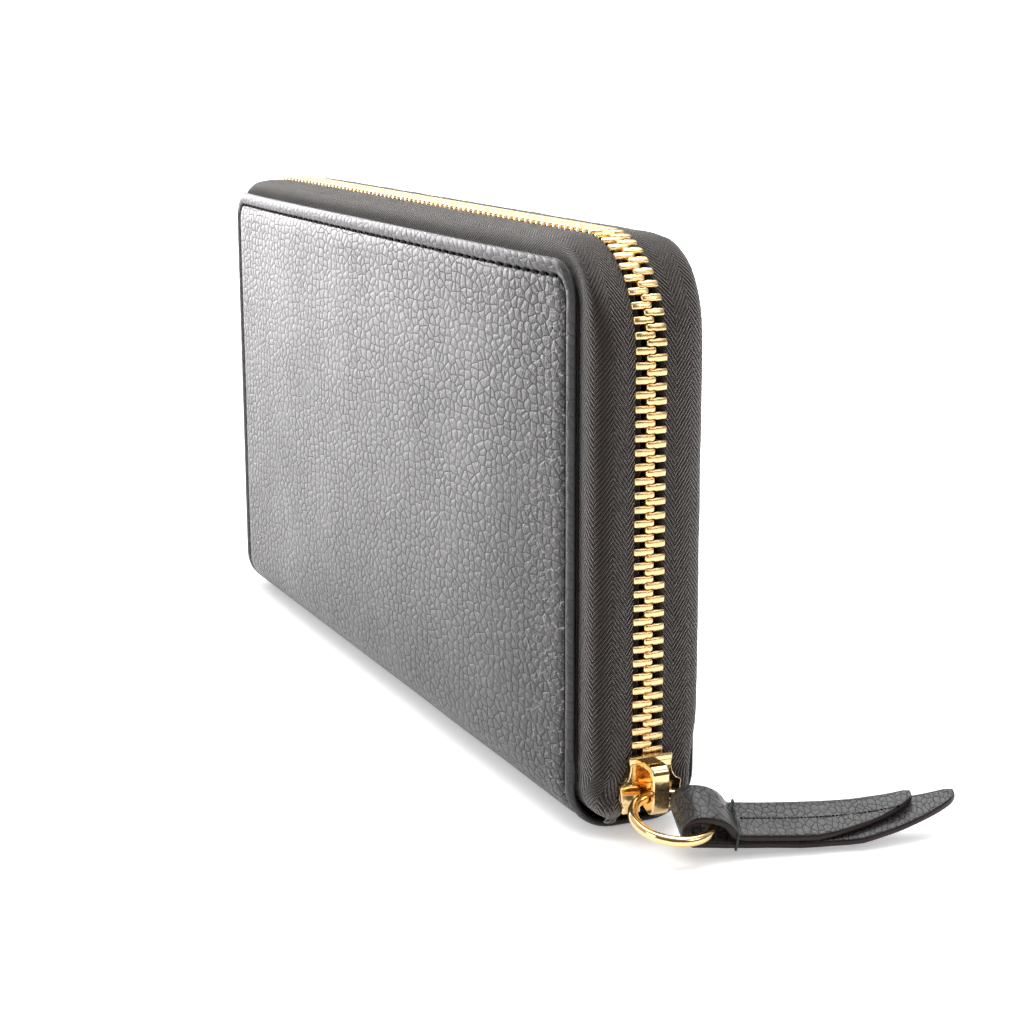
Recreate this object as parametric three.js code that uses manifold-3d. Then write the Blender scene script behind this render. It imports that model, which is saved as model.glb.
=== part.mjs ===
import * as THREE from 'three';
import Module from 'manifold-3d';

// Zip around wallet, millimetres. +X along the length towards the end where the slider
// rests, +Y through the thickness towards the back cover, +Z up from the spine's underside.

// ---- driving sizes ----
const LENGTH = 198;          // cover length
const HEIGHT = 102;          // cover height, spine underside to top edge
const THICK = 25;            // over both covers
const SPINE_R = 8.65;        // outside bend between spine and cover
const SEAM_DEG = 45;         // where each bend is divided between spine and cover
const CORNER_R = 7;          // cover's top corners

const LEATHER = 1.2;
const BOARD = 0.8;
const TAPE = 0.6;
const LINING = 0.4;
const PLY_GAP = 0.1;         // between parallel layers
const SEAM_GAP = 0.15;       // each side of a divided seam
const BOARD_INSET = 1.3;     // board edge inside the leather edge
const LINING_INSET = 0.8;

const ZIP_PROUD_END = 4.5;   // chain's middle plane beyond the cover end
const ZIP_PROUD_TOP = 3.0;   // chain's middle plane above the cover top
const ZIP_CORNER = 19;       // radius of the chain's corners, softer than the cover's
const TAPE_FLANGE = 6;       // tape width sewn between board and lining
const TAPE_FLAT = 6.2;       // half width of the flat tape beside the chain

const PITCH = 2.5;           // spacing of the teeth on one side
const TOOTH_T = 1.0;         // along the chain
const TOOTH_D = 2.4;         // through the chain
const TOOTH_OUT = 3.0;       // outer end from the middle line
const TOOTH_LAP = 0.9;       // tip past the middle line
const CORD_IN = 2.0;
const CORD_D = 1.3;
const CORD_GAP = 0.35;
const SPLIT = 1.95;          // how far each side parts inside the slider
const STOP_T = 1.5;          // top stop, along the chain
const STOP_FAR = 2.4;        // bottom stop, along the chain

const SLIDER_Z0 = 5.5;       // wide end
const SLIDER_LEN = 9.8;
const SLIDER_WALL = 0.8;
const SLIDER_PLATE = 1.0;
const RUN_GAP = 0.25;        // teeth to slider
const POST_W = 1.5;
const BRIDGE_W = 3.2;
const BRIDGE_T = 1.0;
const BRIDGE_OPEN = 2.95;    // clear height under the bridge

const RING_R = 7.1;          // to the middle of the wire
const RING_WIRE = 1.8;
const RING_DROP = 15.7;      // degrees below level
const RING_REST = 0.25;      // wire to the bridge's lower foot
const TAB_SWING = 14.5;      // degrees from +Y towards +X
const TAB_W = 10.4;
const TAB_T = 1.4;
const TAB_SHIFT = -0.3;      // tab's middle from the ring's tangent point
const TAB_NECK = 4.2;        // from ring wire to the neck stitch
const TAB_CURL = 12;         // where the tips start to lift
const TAB_LOWER = 45;        // ring wire to the lower tip
const TAB_UPPER = 37;
const LOOP_FRONT = -6.7;     // loop's front, measured inside the ring
const LOOP_H = 6.6;          // loop's outside height
const THREAD = 0.5;

const CARD_T = 0.5;          // card panel and each card pocket
const CARD_COL_GAP = 2;
const CARD_EDGE = 3;         // panel left bare beside the pockets, where a gusset is glued
const CARD_FOOT = 14;
const CARD_STEP = 12;        // each pocket's mouth below the one behind it
const CARD_ROWS = 3;
const PANEL_BELOW = 14;      // card panel's top below the cover's
const PANEL_INSET = 8;       // card panel's end inside the cover's

const COIN_INSET = 9;        // coin pocket's end inside the cover's
const COIN_IN = 2.1;         // half width inside
const COIN_WALL = 0.5;
const COIN_BELOW = 18;       // coin pocket's top below the cover's
const COIN_FOOT_GAP = 0.3;   // over the spine's lining
const COIN_TEETH_FAR = 10;   // bare end of the coin zip, far end
const COIN_TEETH_NEAR = 13.5;
const COIN_SLIDER_LEN = 8;
const COIN_PITCH = 2.5;
const CLOTH = 0.3;
const GUSSET_DEEP = 20;      // fold line inside the coin pocket's end
const GUSSET_BELOW = 2;      // gusset's top below the coin pocket's

// ---- fits derived from them ----
const HALF_L = LENGTH / 2;
const HALF_T = THICK / 2;
const D_BOARD = LEATHER + PLY_GAP;
const D_TAPE = D_BOARD + BOARD + PLY_GAP;
const D_LINING = D_TAPE + TAPE + PLY_GAP;
const D_CARD = D_LINING + LINING + PLY_GAP;
const SPLIT_ARC = THREE.MathUtils.degToRad(SEAM_DEG);
const TAPE_FOOT = SLIDER_Z0 - 1.1;           // lowest point of the zip tapes
const SPLIT_LOW = SLIDER_Z0 + 2.1;           // sides fully parted below this height
const SPLIT_HIGH = SLIDER_Z0 + 5.7;          // and closed above this one
const CHAIN_FOOT = TAPE_FOOT + STOP_T + TOOTH_T;
const STOP_FAR_Z = TAPE_FOOT + 0.6;
const CHAIN_FOOT_FAR = STOP_FAR_Z + STOP_FAR + TOOTH_T + 0.6;
const COIN_HALF = HALF_L - COIN_INSET;
const COIN_TOP = HEIGHT - COIN_BELOW;
const COIN_FOOT = D_LINING + LINING + COIN_FOOT_GAP;
const COIN_TEETH_X0 = -COIN_HALF + COIN_TEETH_FAR;
const COIN_TEETH_X1 = COIN_HALF - COIN_TEETH_NEAR;
const PANEL_HALF = HALF_L - PANEL_INSET;
const PANEL_TOP = HEIGHT - PANEL_BELOW;
const CARD_W = PANEL_HALF - CARD_EDGE - CARD_COL_GAP / 2;
const CARD_TOP = PANEL_TOP - 8;

const wasm = await Module();
wasm.setup();
const { Manifold, Mesh } = wasm;

const group = new THREE.Group();
const LOOKS = {
  leather: [0x2b292a, 0.55, 0], board: [0x8a7d6b, 0.9, 0], lining: [0x1c1a1a, 0.8, 0],
  tape: [0x221e1d, 0.95, 0], gold: [0xd9b26a, 0.25, 1], cloth: [0x1e1c1c, 0.9, 0],
  card: [0x262324, 0.6, 0], thread: [0x3a4640, 0.8, 0],
};

function add(name, geometry, look) {
  const [color, roughness, metalness] = LOOKS[look];
  const mesh = new THREE.Mesh(geometry, new THREE.MeshStandardMaterial({ color, roughness, metalness }));
  mesh.name = name;
  group.add(mesh);
}

// ---- general builders ----
// Joins a row of rings of equal count into one closed body. Each ring is a loop of points.
function loft(rings, closed = false) {
  const m = rings[0].length, pos = [], idx = [];
  rings.forEach((r) => r.forEach((p) => pos.push(p.x, p.y, p.z)));
  const last = closed ? rings.length : rings.length - 1;
  for (let i = 0; i < last; i++) {
    const a = i * m, b = ((i + 1) % rings.length) * m;
    for (let j = 0; j < m; j++) {
      const k = (j + 1) % m;
      idx.push(a + j, b + j, b + k, a + j, b + k, a + k);
    }
  }
  if (!closed) {
    const cap = (ring, base, flip) => {
      const n = new THREE.Vector3();
      ring.forEach((p, i) => {
        const q = ring[(i + 1) % m];
        n.x += (p.y - q.y) * (p.z + q.z);
        n.y += (p.z - q.z) * (p.x + q.x);
        n.z += (p.x - q.x) * (p.y + q.y);
      });
      n.normalize();
      const u = Math.abs(n.x) < 0.9 ? new THREE.Vector3(1, 0, 0) : new THREE.Vector3(0, 1, 0);
      u.cross(n).normalize();
      const v = n.clone().cross(u);
      const flat = ring.map((p) => new THREE.Vector2(p.dot(u), p.dot(v)));
      THREE.ShapeUtils.triangulateShape(flat, []).forEach(([p, q, r]) => {
        idx.push(...(flip ? [base + p, base + r, base + q] : [base + p, base + q, base + r]));
      });
    };
    cap(rings[0], 0, false);
    cap(rings[rings.length - 1], (rings.length - 1) * m, true);
  }
  const g = new THREE.BufferGeometry();
  g.setAttribute('position', new THREE.Float32BufferAttribute(pos, 3));
  g.setIndex(idx);
  return outward(g);
}

// Turns every face round when the body is inside out.
function outward(g) {
  const p = g.attributes.position, i = g.index.array;
  const a = new THREE.Vector3(), b = new THREE.Vector3(), c = new THREE.Vector3();
  let v = 0;
  for (let k = 0; k < i.length; k += 3) {
    a.fromBufferAttribute(p, i[k]);
    b.fromBufferAttribute(p, i[k + 1]);
    c.fromBufferAttribute(p, i[k + 2]);
    v += a.dot(b.cross(c));
  }
  if (v < 0) for (let k = 0; k < i.length; k += 3) [i[k + 1], i[k + 2]] = [i[k + 2], i[k + 1]];
  g.computeVertexNormals();
  return g;
}

// Prism on a plane polygon: at(u, v, w) places it, w running from w0 to w1.
function prism(poly, w0, w1, at) {
  return loft([w0, w1].map((w) => poly.map(([u, v]) => at(u, v, w))));
}
const box = (x0, x1, y0, y1, z0, z1) => prism(
  [[y0, z0], [y1, z0], [y1, z1], [y0, z1]], x0, x1, (y, z, x) => new THREE.Vector3(x, y, z));

function toManifold(g) {
  const map = new Map(), verts = [], tris = [], p = g.attributes.position;
  const pick = (n) => {
    const q = [p.getX(n), p.getY(n), p.getZ(n)], key = q.map((v) => Math.round(v * 1e4)).join();
    if (!map.has(key)) {
      map.set(key, verts.length / 3);
      verts.push(...q);
    }
    return map.get(key);
  };
  for (const n of g.index.array) tris.push(pick(n));
  return new Manifold(new Mesh({
    numProp: 3, vertProperties: new Float32Array(verts), triVerts: new Uint32Array(tris) }));
}

function fromManifold(m) {
  const mesh = m.getMesh(), pos = [];
  for (let v = 0; v < mesh.vertProperties.length; v += mesh.numProp)
    pos.push(...mesh.vertProperties.slice(v, v + 3));
  const g = new THREE.BufferGeometry();
  g.setAttribute('position', new THREE.Float32BufferAttribute(pos, 3));
  g.setIndex([...mesh.triVerts]);
  g.computeVertexNormals();
  return g;
}
const join = (...parts) => fromManifold(parts.map(toManifold).reduce((a, b) => a.add(b)));
const cut = (a, ...tools) =>
  fromManifold(tools.map(toManifold).reduce((m, t) => m.subtract(t), toManifold(a)));

// ---- the cover's wrapped layers ----
// A layer lies between depths d0 and d1 below the outside. side is -1 front, +1 back.
// The bend's point at angle a (0 = spine's flat, 90 degrees = start of the cover's flat).
function bendPoint(a, d, side) {
  const r = SPINE_R - d;
  return [side * (HALF_T - SPINE_R + r * Math.sin(a)), SPINE_R - r * Math.cos(a)];
}

// Half width in X of a cover layer at height z, inset from the cover's outline.
function reach(z, inset) {
  const r = CORNER_R - inset, top = HEIGHT - inset, over = z - (top - r);
  return HALF_L - inset - r + Math.sqrt(Math.max(0, r * r - Math.max(0, over) ** 2));
}

function coverLayer(side, d0, d1, inset, foot) {
  const rows = [];
  if (foot === undefined) {
    const a0 = SPLIT_ARC + SEAM_GAP / (SPINE_R - (d0 + d1) / 2);
    for (let k = 0; k <= 4; k++) {
      const a = a0 + (Math.PI / 2 - a0) * k / 4;
      rows.push([bendPoint(a, d0, side), bendPoint(a, d1, side), 0]);
    }
  } else rows.push([[side * (HALF_T - d0), foot], [side * (HALF_T - d1), foot], 0]);
  const r = CORNER_R - inset, top = HEIGHT - inset;
  for (let k = 0; k <= 6; k++) {
    const z = top - r + r * Math.sin(Math.PI / 2 * k / 6);
    rows.push([[side * (HALF_T - d0), z], [side * (HALF_T - d1), z], z]);
  }
  return loft(rows.map(([o, i, z]) => {
    const x = z ? reach(z, inset) : HALF_L - inset;
    return [new THREE.Vector3(-x, o[0], o[1]), new THREE.Vector3(x, o[0], o[1]),
      new THREE.Vector3(x, i[0], i[1]), new THREE.Vector3(-x, i[0], i[1])];
  }));
}

function spineLayer(d0, d1, inset, flatOnly) {
  const outer = [], inner = [];
  if (flatOnly) {
    const y = HALF_T - SPINE_R;
    outer.push([-y, d0], [y, d0]);
    inner.push([-y, d1], [y, d1]);
  } else {
    const a1 = SPLIT_ARC - SEAM_GAP / (SPINE_R - (d0 + d1) / 2);
    for (const side of [-1, 1]) {
      for (let k = 0; k <= 4; k++) {
        const a = side < 0 ? a1 * (1 - k / 4) : a1 * k / 4;
        outer.push(bendPoint(a, d0, side));
        inner.push(bendPoint(a, d1, side));
      }
    }
  }
  const x = HALF_L - inset;
  return prism([...outer, ...inner.reverse()], -x, x, (y, z, w) => new THREE.Vector3(w, y, z));
}

// ---- the zip's course round three edges ----
// s runs from the slider end up, over the top and down the far end.
const ZIP_X = HALF_L + ZIP_PROUD_END - ZIP_CORNER;        // centre of the zip's corner
const ZIP_Z = HEIGHT + ZIP_PROUD_TOP - ZIP_CORNER;
const END_RUN = ZIP_Z;
const ARC = { total: ZIP_CORNER * Math.PI / 2 };
const TOP_RUN = 2 * ZIP_X;
const COURSE = END_RUN * 2 + ARC.total * 2 + TOP_RUN;   // measured from z = 0 to z = 0

// The cover's outline beside the zip's corner, f from 0 at the end to 1 at the top.
function coverCorner(f) {
  const x = HALF_L - CORNER_R, z = HEIGHT - CORNER_R, arc = CORNER_R * Math.PI / 2;
  const up = z - ZIP_Z, over = x - ZIP_X;
  const t = f < 0.5 ? f * 2 * (up + arc / 2) : up + arc / 2 + (f * 2 - 1) * (over + arc / 2);
  if (t <= up) return [HALF_L, ZIP_Z + t, 0];
  if (t >= up + arc) return [x - (t - up - arc), HEIGHT, Math.PI / 2];
  const a = (t - up) / CORNER_R;
  return [x + CORNER_R * Math.cos(a), z + CORNER_R * Math.sin(a), a];
}

// The place at s: edge is the cover outline's point and direction, chain the zip's own.
function courseAt(s) {
  const far = s > COURSE / 2, t = far ? COURSE - s : s, sign = far ? -1 : 1;
  if (t <= END_RUN) {
    return { edge: [HALF_L, t, 0], chain: [HALF_L + ZIP_PROUD_END, t, 0], angle: 0, sign, z: t };
  }
  if (t <= END_RUN + ARC.total) {
    const a = (t - END_RUN) / ZIP_CORNER;
    const chain = [ZIP_X + ZIP_CORNER * Math.cos(a), ZIP_Z + ZIP_CORNER * Math.sin(a), a];
    return { edge: coverCorner(a / (Math.PI / 2)), chain, angle: a, sign, z: END_RUN };
  }
  const x = ZIP_X - (t - END_RUN - ARC.total), up = Math.PI / 2;
  return { edge: [x, HEIGHT, up], chain: [x, HEIGHT + ZIP_PROUD_TOP, up], angle: up, sign, z: END_RUN };
}

// A point n outwards at y, on the course at place c. mix 0 is on the cover's outline and
// mix 1 on the chain's own line.
function coursePoint(c, n, y, mix = 0) {
  const at = ([x, z, a]) => [x + n * Math.cos(a), z + n * Math.sin(a)];
  const [x0, z0] = at(c.edge), [x1, z1] = at(c.chain);
  return new THREE.Vector3(c.sign * (x0 + (x1 - x0) * mix), y, z0 + (z1 - z0) * mix);
}

function split(z, nearEnd) {
  if (!nearEnd) return 0;
  return SPLIT * THREE.MathUtils.clamp((SPLIT_HIGH - z) / (SPLIT_HIGH - SPLIT_LOW), 0, 1);
}

function tapeBand(side) {
  const stops = [TAPE_FOOT, TAPE_FOOT + 1.8, SPLIT_LOW, SPINE_R, SPLIT_HIGH, END_RUN];
  for (let k = 1; k <= 10; k++) stops.push(END_RUN + ARC.total * k / 10);
  stops.sort((a, b) => a - b);
  stops.push(...stops.slice().reverse().map((s) => COURSE - s));
  return loft(stops.map((s) => {
    const c = courseAt(s), near = s < COURSE / 2;
    const deep = c.z < SPINE_R && c.angle === 0;
    const mid = D_TAPE + TAPE / 2, r = SPINE_R - mid;
    const foldY = deep ? HALF_T - SPINE_R + Math.sqrt(r * r - (SPINE_R - c.z) ** 2) : HALF_T - mid;
    const inY = TOOTH_OUT + CORD_GAP + (c.angle === 0 ? split(c.z, near) : 0);
    const run = foldY - TAPE_FLAT, h = TAPE / 2;
    const line = [[-TAPE_FLANGE, 0, foldY], [0.2, 0, foldY], [0.1, 0.5, foldY - 0.28 * run],
      [0, 0.93, foldY - 0.8 * run], [0, 1, TAPE_FLAT], [0, 1, inY]];
    const dirs = line.map((p, i) => {
      const a = line[Math.max(0, i - 1)], b = line[Math.min(line.length - 1, i + 1)];
      const v = new THREE.Vector2(b[0] + b[1] * ZIP_PROUD_END - a[0] - a[1] * ZIP_PROUD_END, b[2] - a[2]);
      return v.normalize();
    });
    const edge = (k) => line.map((p, i) => coursePoint(
      c, p[0] + k * h * -dirs[i].y, side * (p[2] + k * h * dirs[i].x), p[1]));
    return [...edge(1), ...edge(-1).reverse()];
  }));
}

function toothRings(s, side, near) {
  const place = (t, n, y) => coursePoint(courseAt(t), n, side * y, 1);
  const z = courseAt(s).angle === 0 ? courseAt(s).z : HEIGHT;
  const d = split(z, near), hd = TOOTH_D / 2, hc = CORD_D / 2, ht = TOOTH_T / 2;
  const cord = (t) => [place(t, hc, TOOTH_OUT - 0.3 + d), place(t, hc, CORD_IN + d),
    place(t, -hc, CORD_IN + d), place(t, -hc, TOOTH_OUT - 0.3 + d)];
  const tooth = (t, tip) => [place(t, hd, TOOTH_OUT + d), place(tip, hd * 0.8, -TOOTH_LAP + d),
    place(tip, -hd * 0.8, -TOOTH_LAP + d), place(t, -hd, TOOTH_OUT + d)];
  return [cord(s - ht), tooth(s - ht, s - ht + 0.1), tooth(s + ht, s + ht - 0.1), cord(s + ht)];
}

function chain(side) {
  const first = CHAIN_FOOT + (side > 0 ? PITCH / 2 : 0), rings = [];
  for (let s = first; s < COURSE - CHAIN_FOOT_FAR; s += PITCH)
    rings.push(...toothRings(s, side, s < COURSE / 2));
  return loft(rings);
}

function topStop(side) {
  const y0 = SPLIT - TOOTH_LAP * 0.6, y1 = TOOTH_OUT + SPLIT, x = HALF_L + ZIP_PROUD_END;
  return box(x - 1.25, x + 1.25, Math.min(side * y0, side * y1), Math.max(side * y0, side * y1),
    TAPE_FOOT, TAPE_FOOT + STOP_T);
}

function bottomStop() {
  const x = HALF_L + ZIP_PROUD_END;
  return box(-x - 1.4, -x + 1.4, -TOOTH_OUT, TOOTH_OUT, STOP_FAR_Z, STOP_FAR_Z + STOP_FAR);
}

// ---- slider, bridge, ring and tab ----
function sliderBody() {
  const mid = HALF_L + ZIP_PROUD_END, open = TOOTH_D / 2 + RUN_GAP;
  const z0 = SLIDER_Z0, z1 = z0 + SLIDER_LEN;
  const narrow = TOOTH_OUT + RUN_GAP + SLIDER_WALL, wide = TOOTH_OUT + SPLIT + RUN_GAP + SLIDER_WALL;
  const half = [[0, z0 + 1.0], [2.2, z0 + 0.3], [wide - 0.9, z0], [wide, z0 + 1.6], [wide, z0 + 4.4],
    [narrow, z0 + 6.6], [narrow, z1 - 0.9], [narrow + 0.15, z1], [0, z1]];
  const outline = [...half.slice(1), ...half.slice(1, -1).reverse().map(([y, z]) => [-y, z])];
  outline.push([0, half[0][1]]);
  const at = (y, z, x) => new THREE.Vector3(x, y, z);
  const outer = prism(outline, mid + open, mid + open + SLIDER_PLATE, at);
  const inner = prism(outline, mid - open - SLIDER_PLATE, mid - open, at);
  const slot = TAPE / 2 + RUN_GAP;
  const wall = [[wide - 0.9, z0], [wide, z0 + 1.6], [wide, z0 + 4.4], [narrow, z0 + 6.6], [narrow, z1 - 0.9],
    [narrow - SLIDER_WALL, z1 - 0.9], [narrow - SLIDER_WALL, z0 + 6.3], [wide - SLIDER_WALL, z0 + 4.1],
    [wide - SLIDER_WALL, z0 + 1.7], [wide - 0.95, z0 + 0.05]];
  const walls = [];
  for (const side of [-1, 1]) {
    const w = wall.map(([y, z]) => [side * y, z]);
    walls.push(prism(w, mid + slot, mid + open + 0.3, at), prism(w, mid - open - 0.3, mid - slot, at));
  }
  const h = POST_W / 2;
  const post = prism([[-h * 0.5, z0 + 1.4], [h * 0.5, z0 + 1.4], [h, z0 + 2.2], [h * 0.2, z0 + 3.1],
    [-h * 0.2, z0 + 3.1], [-h, z0 + 2.2]], mid - open - 0.3, mid + open + 0.3, at);
  return join(outer, inner, post, ...walls);
}

const BRIDGE_X = HALF_L + ZIP_PROUD_END + TOOTH_D / 2 + RUN_GAP + SLIDER_PLATE + 0.05;
const BRIDGE_Z = SLIDER_Z0 + 0.9;

function sliderBridge() {
  const x0 = BRIDGE_X, z0 = BRIDGE_Z, t = BRIDGE_T;
  const xi = x0 + BRIDGE_OPEN, xo = xi + BRIDGE_T, z1 = SLIDER_Z0 + SLIDER_LEN - 1.3;
  const poly = [[x0, z0], [xi, z0 - 0.2], [xo, z0 + 0.9], [xo, z1 - 0.9], [xi, z1 + 0.2], [x0, z1],
    [x0, z1 - t], [xi - 0.4, z1 - t], [xi, z1 - t - 0.6], [xi, z0 + t + 0.5], [xi - 0.5, z0 + t], [x0, z0 + t]];
  return prism(poly, -BRIDGE_W / 2, BRIDGE_W / 2, (x, z, y) => new THREE.Vector3(x, y, z));
}

const drop = THREE.MathUtils.degToRad(RING_DROP), swing = THREE.MathUtils.degToRad(TAB_SWING);
const ringOut = new THREE.Vector3(Math.cos(drop), 0, -Math.sin(drop));
const ringUp = new THREE.Vector3(Math.sin(drop), 0, Math.cos(drop));
const ringSeat = new THREE.Vector3(
  BRIDGE_X + BRIDGE_OPEN / 2 + 0.1, 0, BRIDGE_Z + BRIDGE_T + RING_REST + RING_WIRE / 2);
const ringMid = ringSeat.clone().addScaledVector(ringOut, RING_R);
const tabDir = ringOut.clone().multiplyScalar(Math.sin(swing)).add(new THREE.Vector3(0, Math.cos(swing), 0));
const tabWide = ringOut.clone().multiplyScalar(Math.cos(swing)).add(new THREE.Vector3(0, -Math.sin(swing), 0));
const tabSeat = ringMid.clone().addScaledVector(tabDir, RING_R);

function pullRing() {
  const rings = [];
  for (let k = 0; k < 28; k++) {
    const a = Math.PI * 2 * k / 28;
    const out = ringOut.clone().multiplyScalar(Math.cos(a)).add(new THREE.Vector3(0, Math.sin(a), 0));
    const ring = [];
    for (let j = 0; j < 8; j++) {
      const b = Math.PI * 2 * (j + 0.5) / 8;
      ring.push(ringMid.clone().addScaledVector(out, RING_R + RING_WIRE / 2 * Math.cos(b))
        .addScaledVector(ringUp, RING_WIRE / 2 * Math.sin(b)));
    }
    rings.push(ring);
  }
  return loft(rings, true);
}

// Strap's own axes: s along the tab from the ring wire, h square to the ring's plane.
const tabPoint = (s, h, w) => tabSeat.clone().addScaledVector(tabDir, s)
  .addScaledVector(ringUp, h).addScaledVector(tabWide, w);
const tabFloor = (s) => -LOOP_H / 2 + TAB_T / 2 + 0.005 * Math.max(0, s - TAB_CURL) ** 2;
const tabOver = (s) => tabFloor(s) + TAB_T + PLY_GAP + 0.004 * Math.max(0, s - 26) ** 2;

function pullTab() {
  const path = [], halfH = LOOP_H / 2 - TAB_T / 2;
  for (const s of [TAB_LOWER, TAB_LOWER - 1.5, TAB_LOWER - 5, TAB_LOWER - 10, TAB_LOWER - 15, 26, 20, TAB_CURL, 6, 2])
    path.push([s, tabFloor(s), s]);
  const r = 2.4;
  for (let k = 1; k < 7; k++) {
    const a = -Math.PI / 2 - Math.PI * k / 7;
    path.push([LOOP_FRONT + TAB_T / 2 + r + r * Math.cos(a), halfH * Math.sin(a), 0]);
  }
  path.push([-1.6, halfH - 0.05, 0], [0.1, halfH - 0.6, 0], [1.4, halfH - 1.25, 0], [2.4, halfH - 2.3, 0],
    [3, tabOver(3) + 0.5, 0], [3.6, tabOver(3.6), 0]);
  for (const s of [6, TAB_CURL, 18, TAB_UPPER - 13, TAB_UPPER - 9, TAB_UPPER - 5, TAB_UPPER - 1.5, TAB_UPPER])
    path.push([s, tabOver(s), s]);
  const width = (s, tip) => TAB_W / 2 * Math.min(1, 0.14 + 0.86 * Math.sqrt(Math.max(0, (tip - s) / 15)));
  const half = path.length / 2;
  return loft(path.map((p, i) => {
    const a = path[Math.max(0, i - 1)], b = path[Math.min(path.length - 1, i + 1)];
    const t = new THREE.Vector2(b[0] - a[0], b[1] - a[1]).normalize(), h = TAB_T / 2;
    const w = width(p[2], i < half ? TAB_LOWER : TAB_UPPER);
    const s0 = p[0] - t.y * h, h0 = p[1] + t.x * h, s1 = p[0] + t.y * h, h1 = p[1] - t.x * h;
    return [tabPoint(s0, h0, TAB_SHIFT - w), tabPoint(s0, h0, TAB_SHIFT + w),
      tabPoint(s1, h1, TAB_SHIFT + w), tabPoint(s1, h1, TAB_SHIFT - w)];
  }));
}

function tabThread() {
  const s = TAB_NECK, g = 0.08, lo = tabFloor(s) - TAB_T / 2 - g, hi = tabOver(s) + TAB_T / 2 + g;
  const w = TAB_W / 2 + g, at = (a, h, t) => tabPoint(t, h, TAB_SHIFT + a);
  const rect = (k) => [[-w - k, lo - k], [w + k, lo - k], [w + k, hi + k], [-w - k, hi + k]];
  return cut(prism(rect(THREAD), s - THREAD / 2, s + THREAD / 2, at), prism(rect(0), s - 1, s + 1, at));
}

// ---- card panels ----
function sheet(side, d, thick, x0, x1, z0, z1) {
  const y0 = side * (HALF_T - d), y1 = side * (HALF_T - d - thick);
  return box(x0, x1, Math.min(y0, y1), Math.max(y0, y1), z0, z1);
}

function cardPocket(side, column, row) {
  const d = D_CARD + (CARD_T + PLY_GAP) * (row + 1), x0 = CARD_COL_GAP / 2, x1 = x0 + CARD_W;
  return sheet(side, d, CARD_T, column > 0 ? x0 : -x1, column > 0 ? x1 : -x0, CARD_FOOT, CARD_TOP - CARD_STEP * row);
}

// ---- folded cloth, a line of points in XY given a thickness and a height ----
function ribbon(points, thick, z0, z1) {
  const h = thick / 2, n = points.length, left = [], right = [];
  points.forEach((p, i) => {
    const a = points[Math.max(0, i - 1)], b = points[Math.min(n - 1, i + 1)];
    const u = new THREE.Vector2(p[0] - a[0], p[1] - a[1]), v = new THREE.Vector2(b[0] - p[0], b[1] - p[1]);
    if (i === 0) u.copy(v);
    if (i === n - 1) v.copy(u);
    u.normalize();
    v.normalize();
    const nu = new THREE.Vector2(-u.y, u.x), nv = new THREE.Vector2(-v.y, v.x);
    const m = nu.clone().add(nv).normalize(), k = h / Math.max(0.1, m.dot(nu));
    left.push([p[0] + m.x * k, p[1] + m.y * k]);
    right.push([p[0] - m.x * k, p[1] - m.y * k]);
  });
  return prism([...left, ...right.reverse()], z0, z1, (x, y, z) => new THREE.Vector3(x, y, z));
}

function gusset(side, end) {
  const onCard = HALF_T - D_CARD - CARD_T - CLOTH / 2 - 0.05, onCoin = COIN_IN + COIN_WALL + CLOTH / 2 + 0.05;
  const pocketX = CARD_COL_GAP / 2 + CARD_W + 0.4 + CLOTH / 2;
  const face = HALF_T - D_CARD - (CARD_T + PLY_GAP) * (CARD_ROWS + 1) - CLOTH / 2 - 0.1;
  const mid = (face + onCoin) / 2;
  const line = [[PANEL_HALF, onCard], [pocketX + 0.1, onCard], [pocketX, face], [COIN_HALF - GUSSET_DEEP, mid],
    [COIN_HALF - 3, onCoin], [COIN_HALF, onCoin]];
  return ribbon(line.map(([x, y]) => [end * x, side * y]), CLOTH, CARD_FOOT, COIN_TOP - GUSSET_BELOW);
}

// ---- coin pocket ----
const coinWall = (side) => box(-COIN_HALF, COIN_HALF, side < 0 ? -COIN_IN - COIN_WALL : COIN_IN,
  side < 0 ? -COIN_IN : COIN_IN + COIN_WALL, COIN_FOOT, COIN_TOP);
const coinBase = () => box(-COIN_HALF + 1, COIN_HALF - 1, -COIN_IN + PLY_GAP, COIN_IN - PLY_GAP,
  COIN_FOOT, COIN_FOOT + CLOTH);
const COIN_TAPE_Y = COIN_IN - PLY_GAP;

function coinEnd(end) {
  const y = COIN_IN - PLY_GAP - CLOTH / 2 - 0.4;
  return ribbon([[end * (COIN_HALF - 1), -y], [end * (COIN_HALF - 9), 0], [end * (COIN_HALF - 1), y]],
    CLOTH, COIN_FOOT + 0.6, COIN_TOP - 3);
}
function coinTape(side) {
  const y0 = side * COIN_TAPE_Y, y1 = side * (COIN_TAPE_Y - 0.35);
  return box(-COIN_HALF + 1, COIN_HALF - 1, Math.min(y0, y1), Math.max(y0, y1), COIN_TOP - 6, COIN_TOP + 1);
}
function coinTeeth(side) {
  const z0 = COIN_TOP + 1.1, z1 = z0 + 1.4, rail = 1.5, tip = -0.55, out = COIN_TAPE_Y + 0.2, t = 0.5;
  const line = [], first = COIN_TEETH_X0 + 1 + (side > 0 ? COIN_PITCH / 2 : 0);
  line.push([COIN_TEETH_X0, out], [COIN_TEETH_X0, rail]);
  for (let x = first; x < COIN_TEETH_X1 - 1.2; x += COIN_PITCH)
    line.push([x - t, rail], [x - t + 0.1, tip], [x + t - 0.1, tip], [x + t, rail]);
  line.push([COIN_TEETH_X1, rail], [COIN_TEETH_X1, out]);
  return prism(line.map(([x, y]) => [x, side * y]), z0, z1, (x, y, z) => new THREE.Vector3(x, y, z));
}
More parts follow.
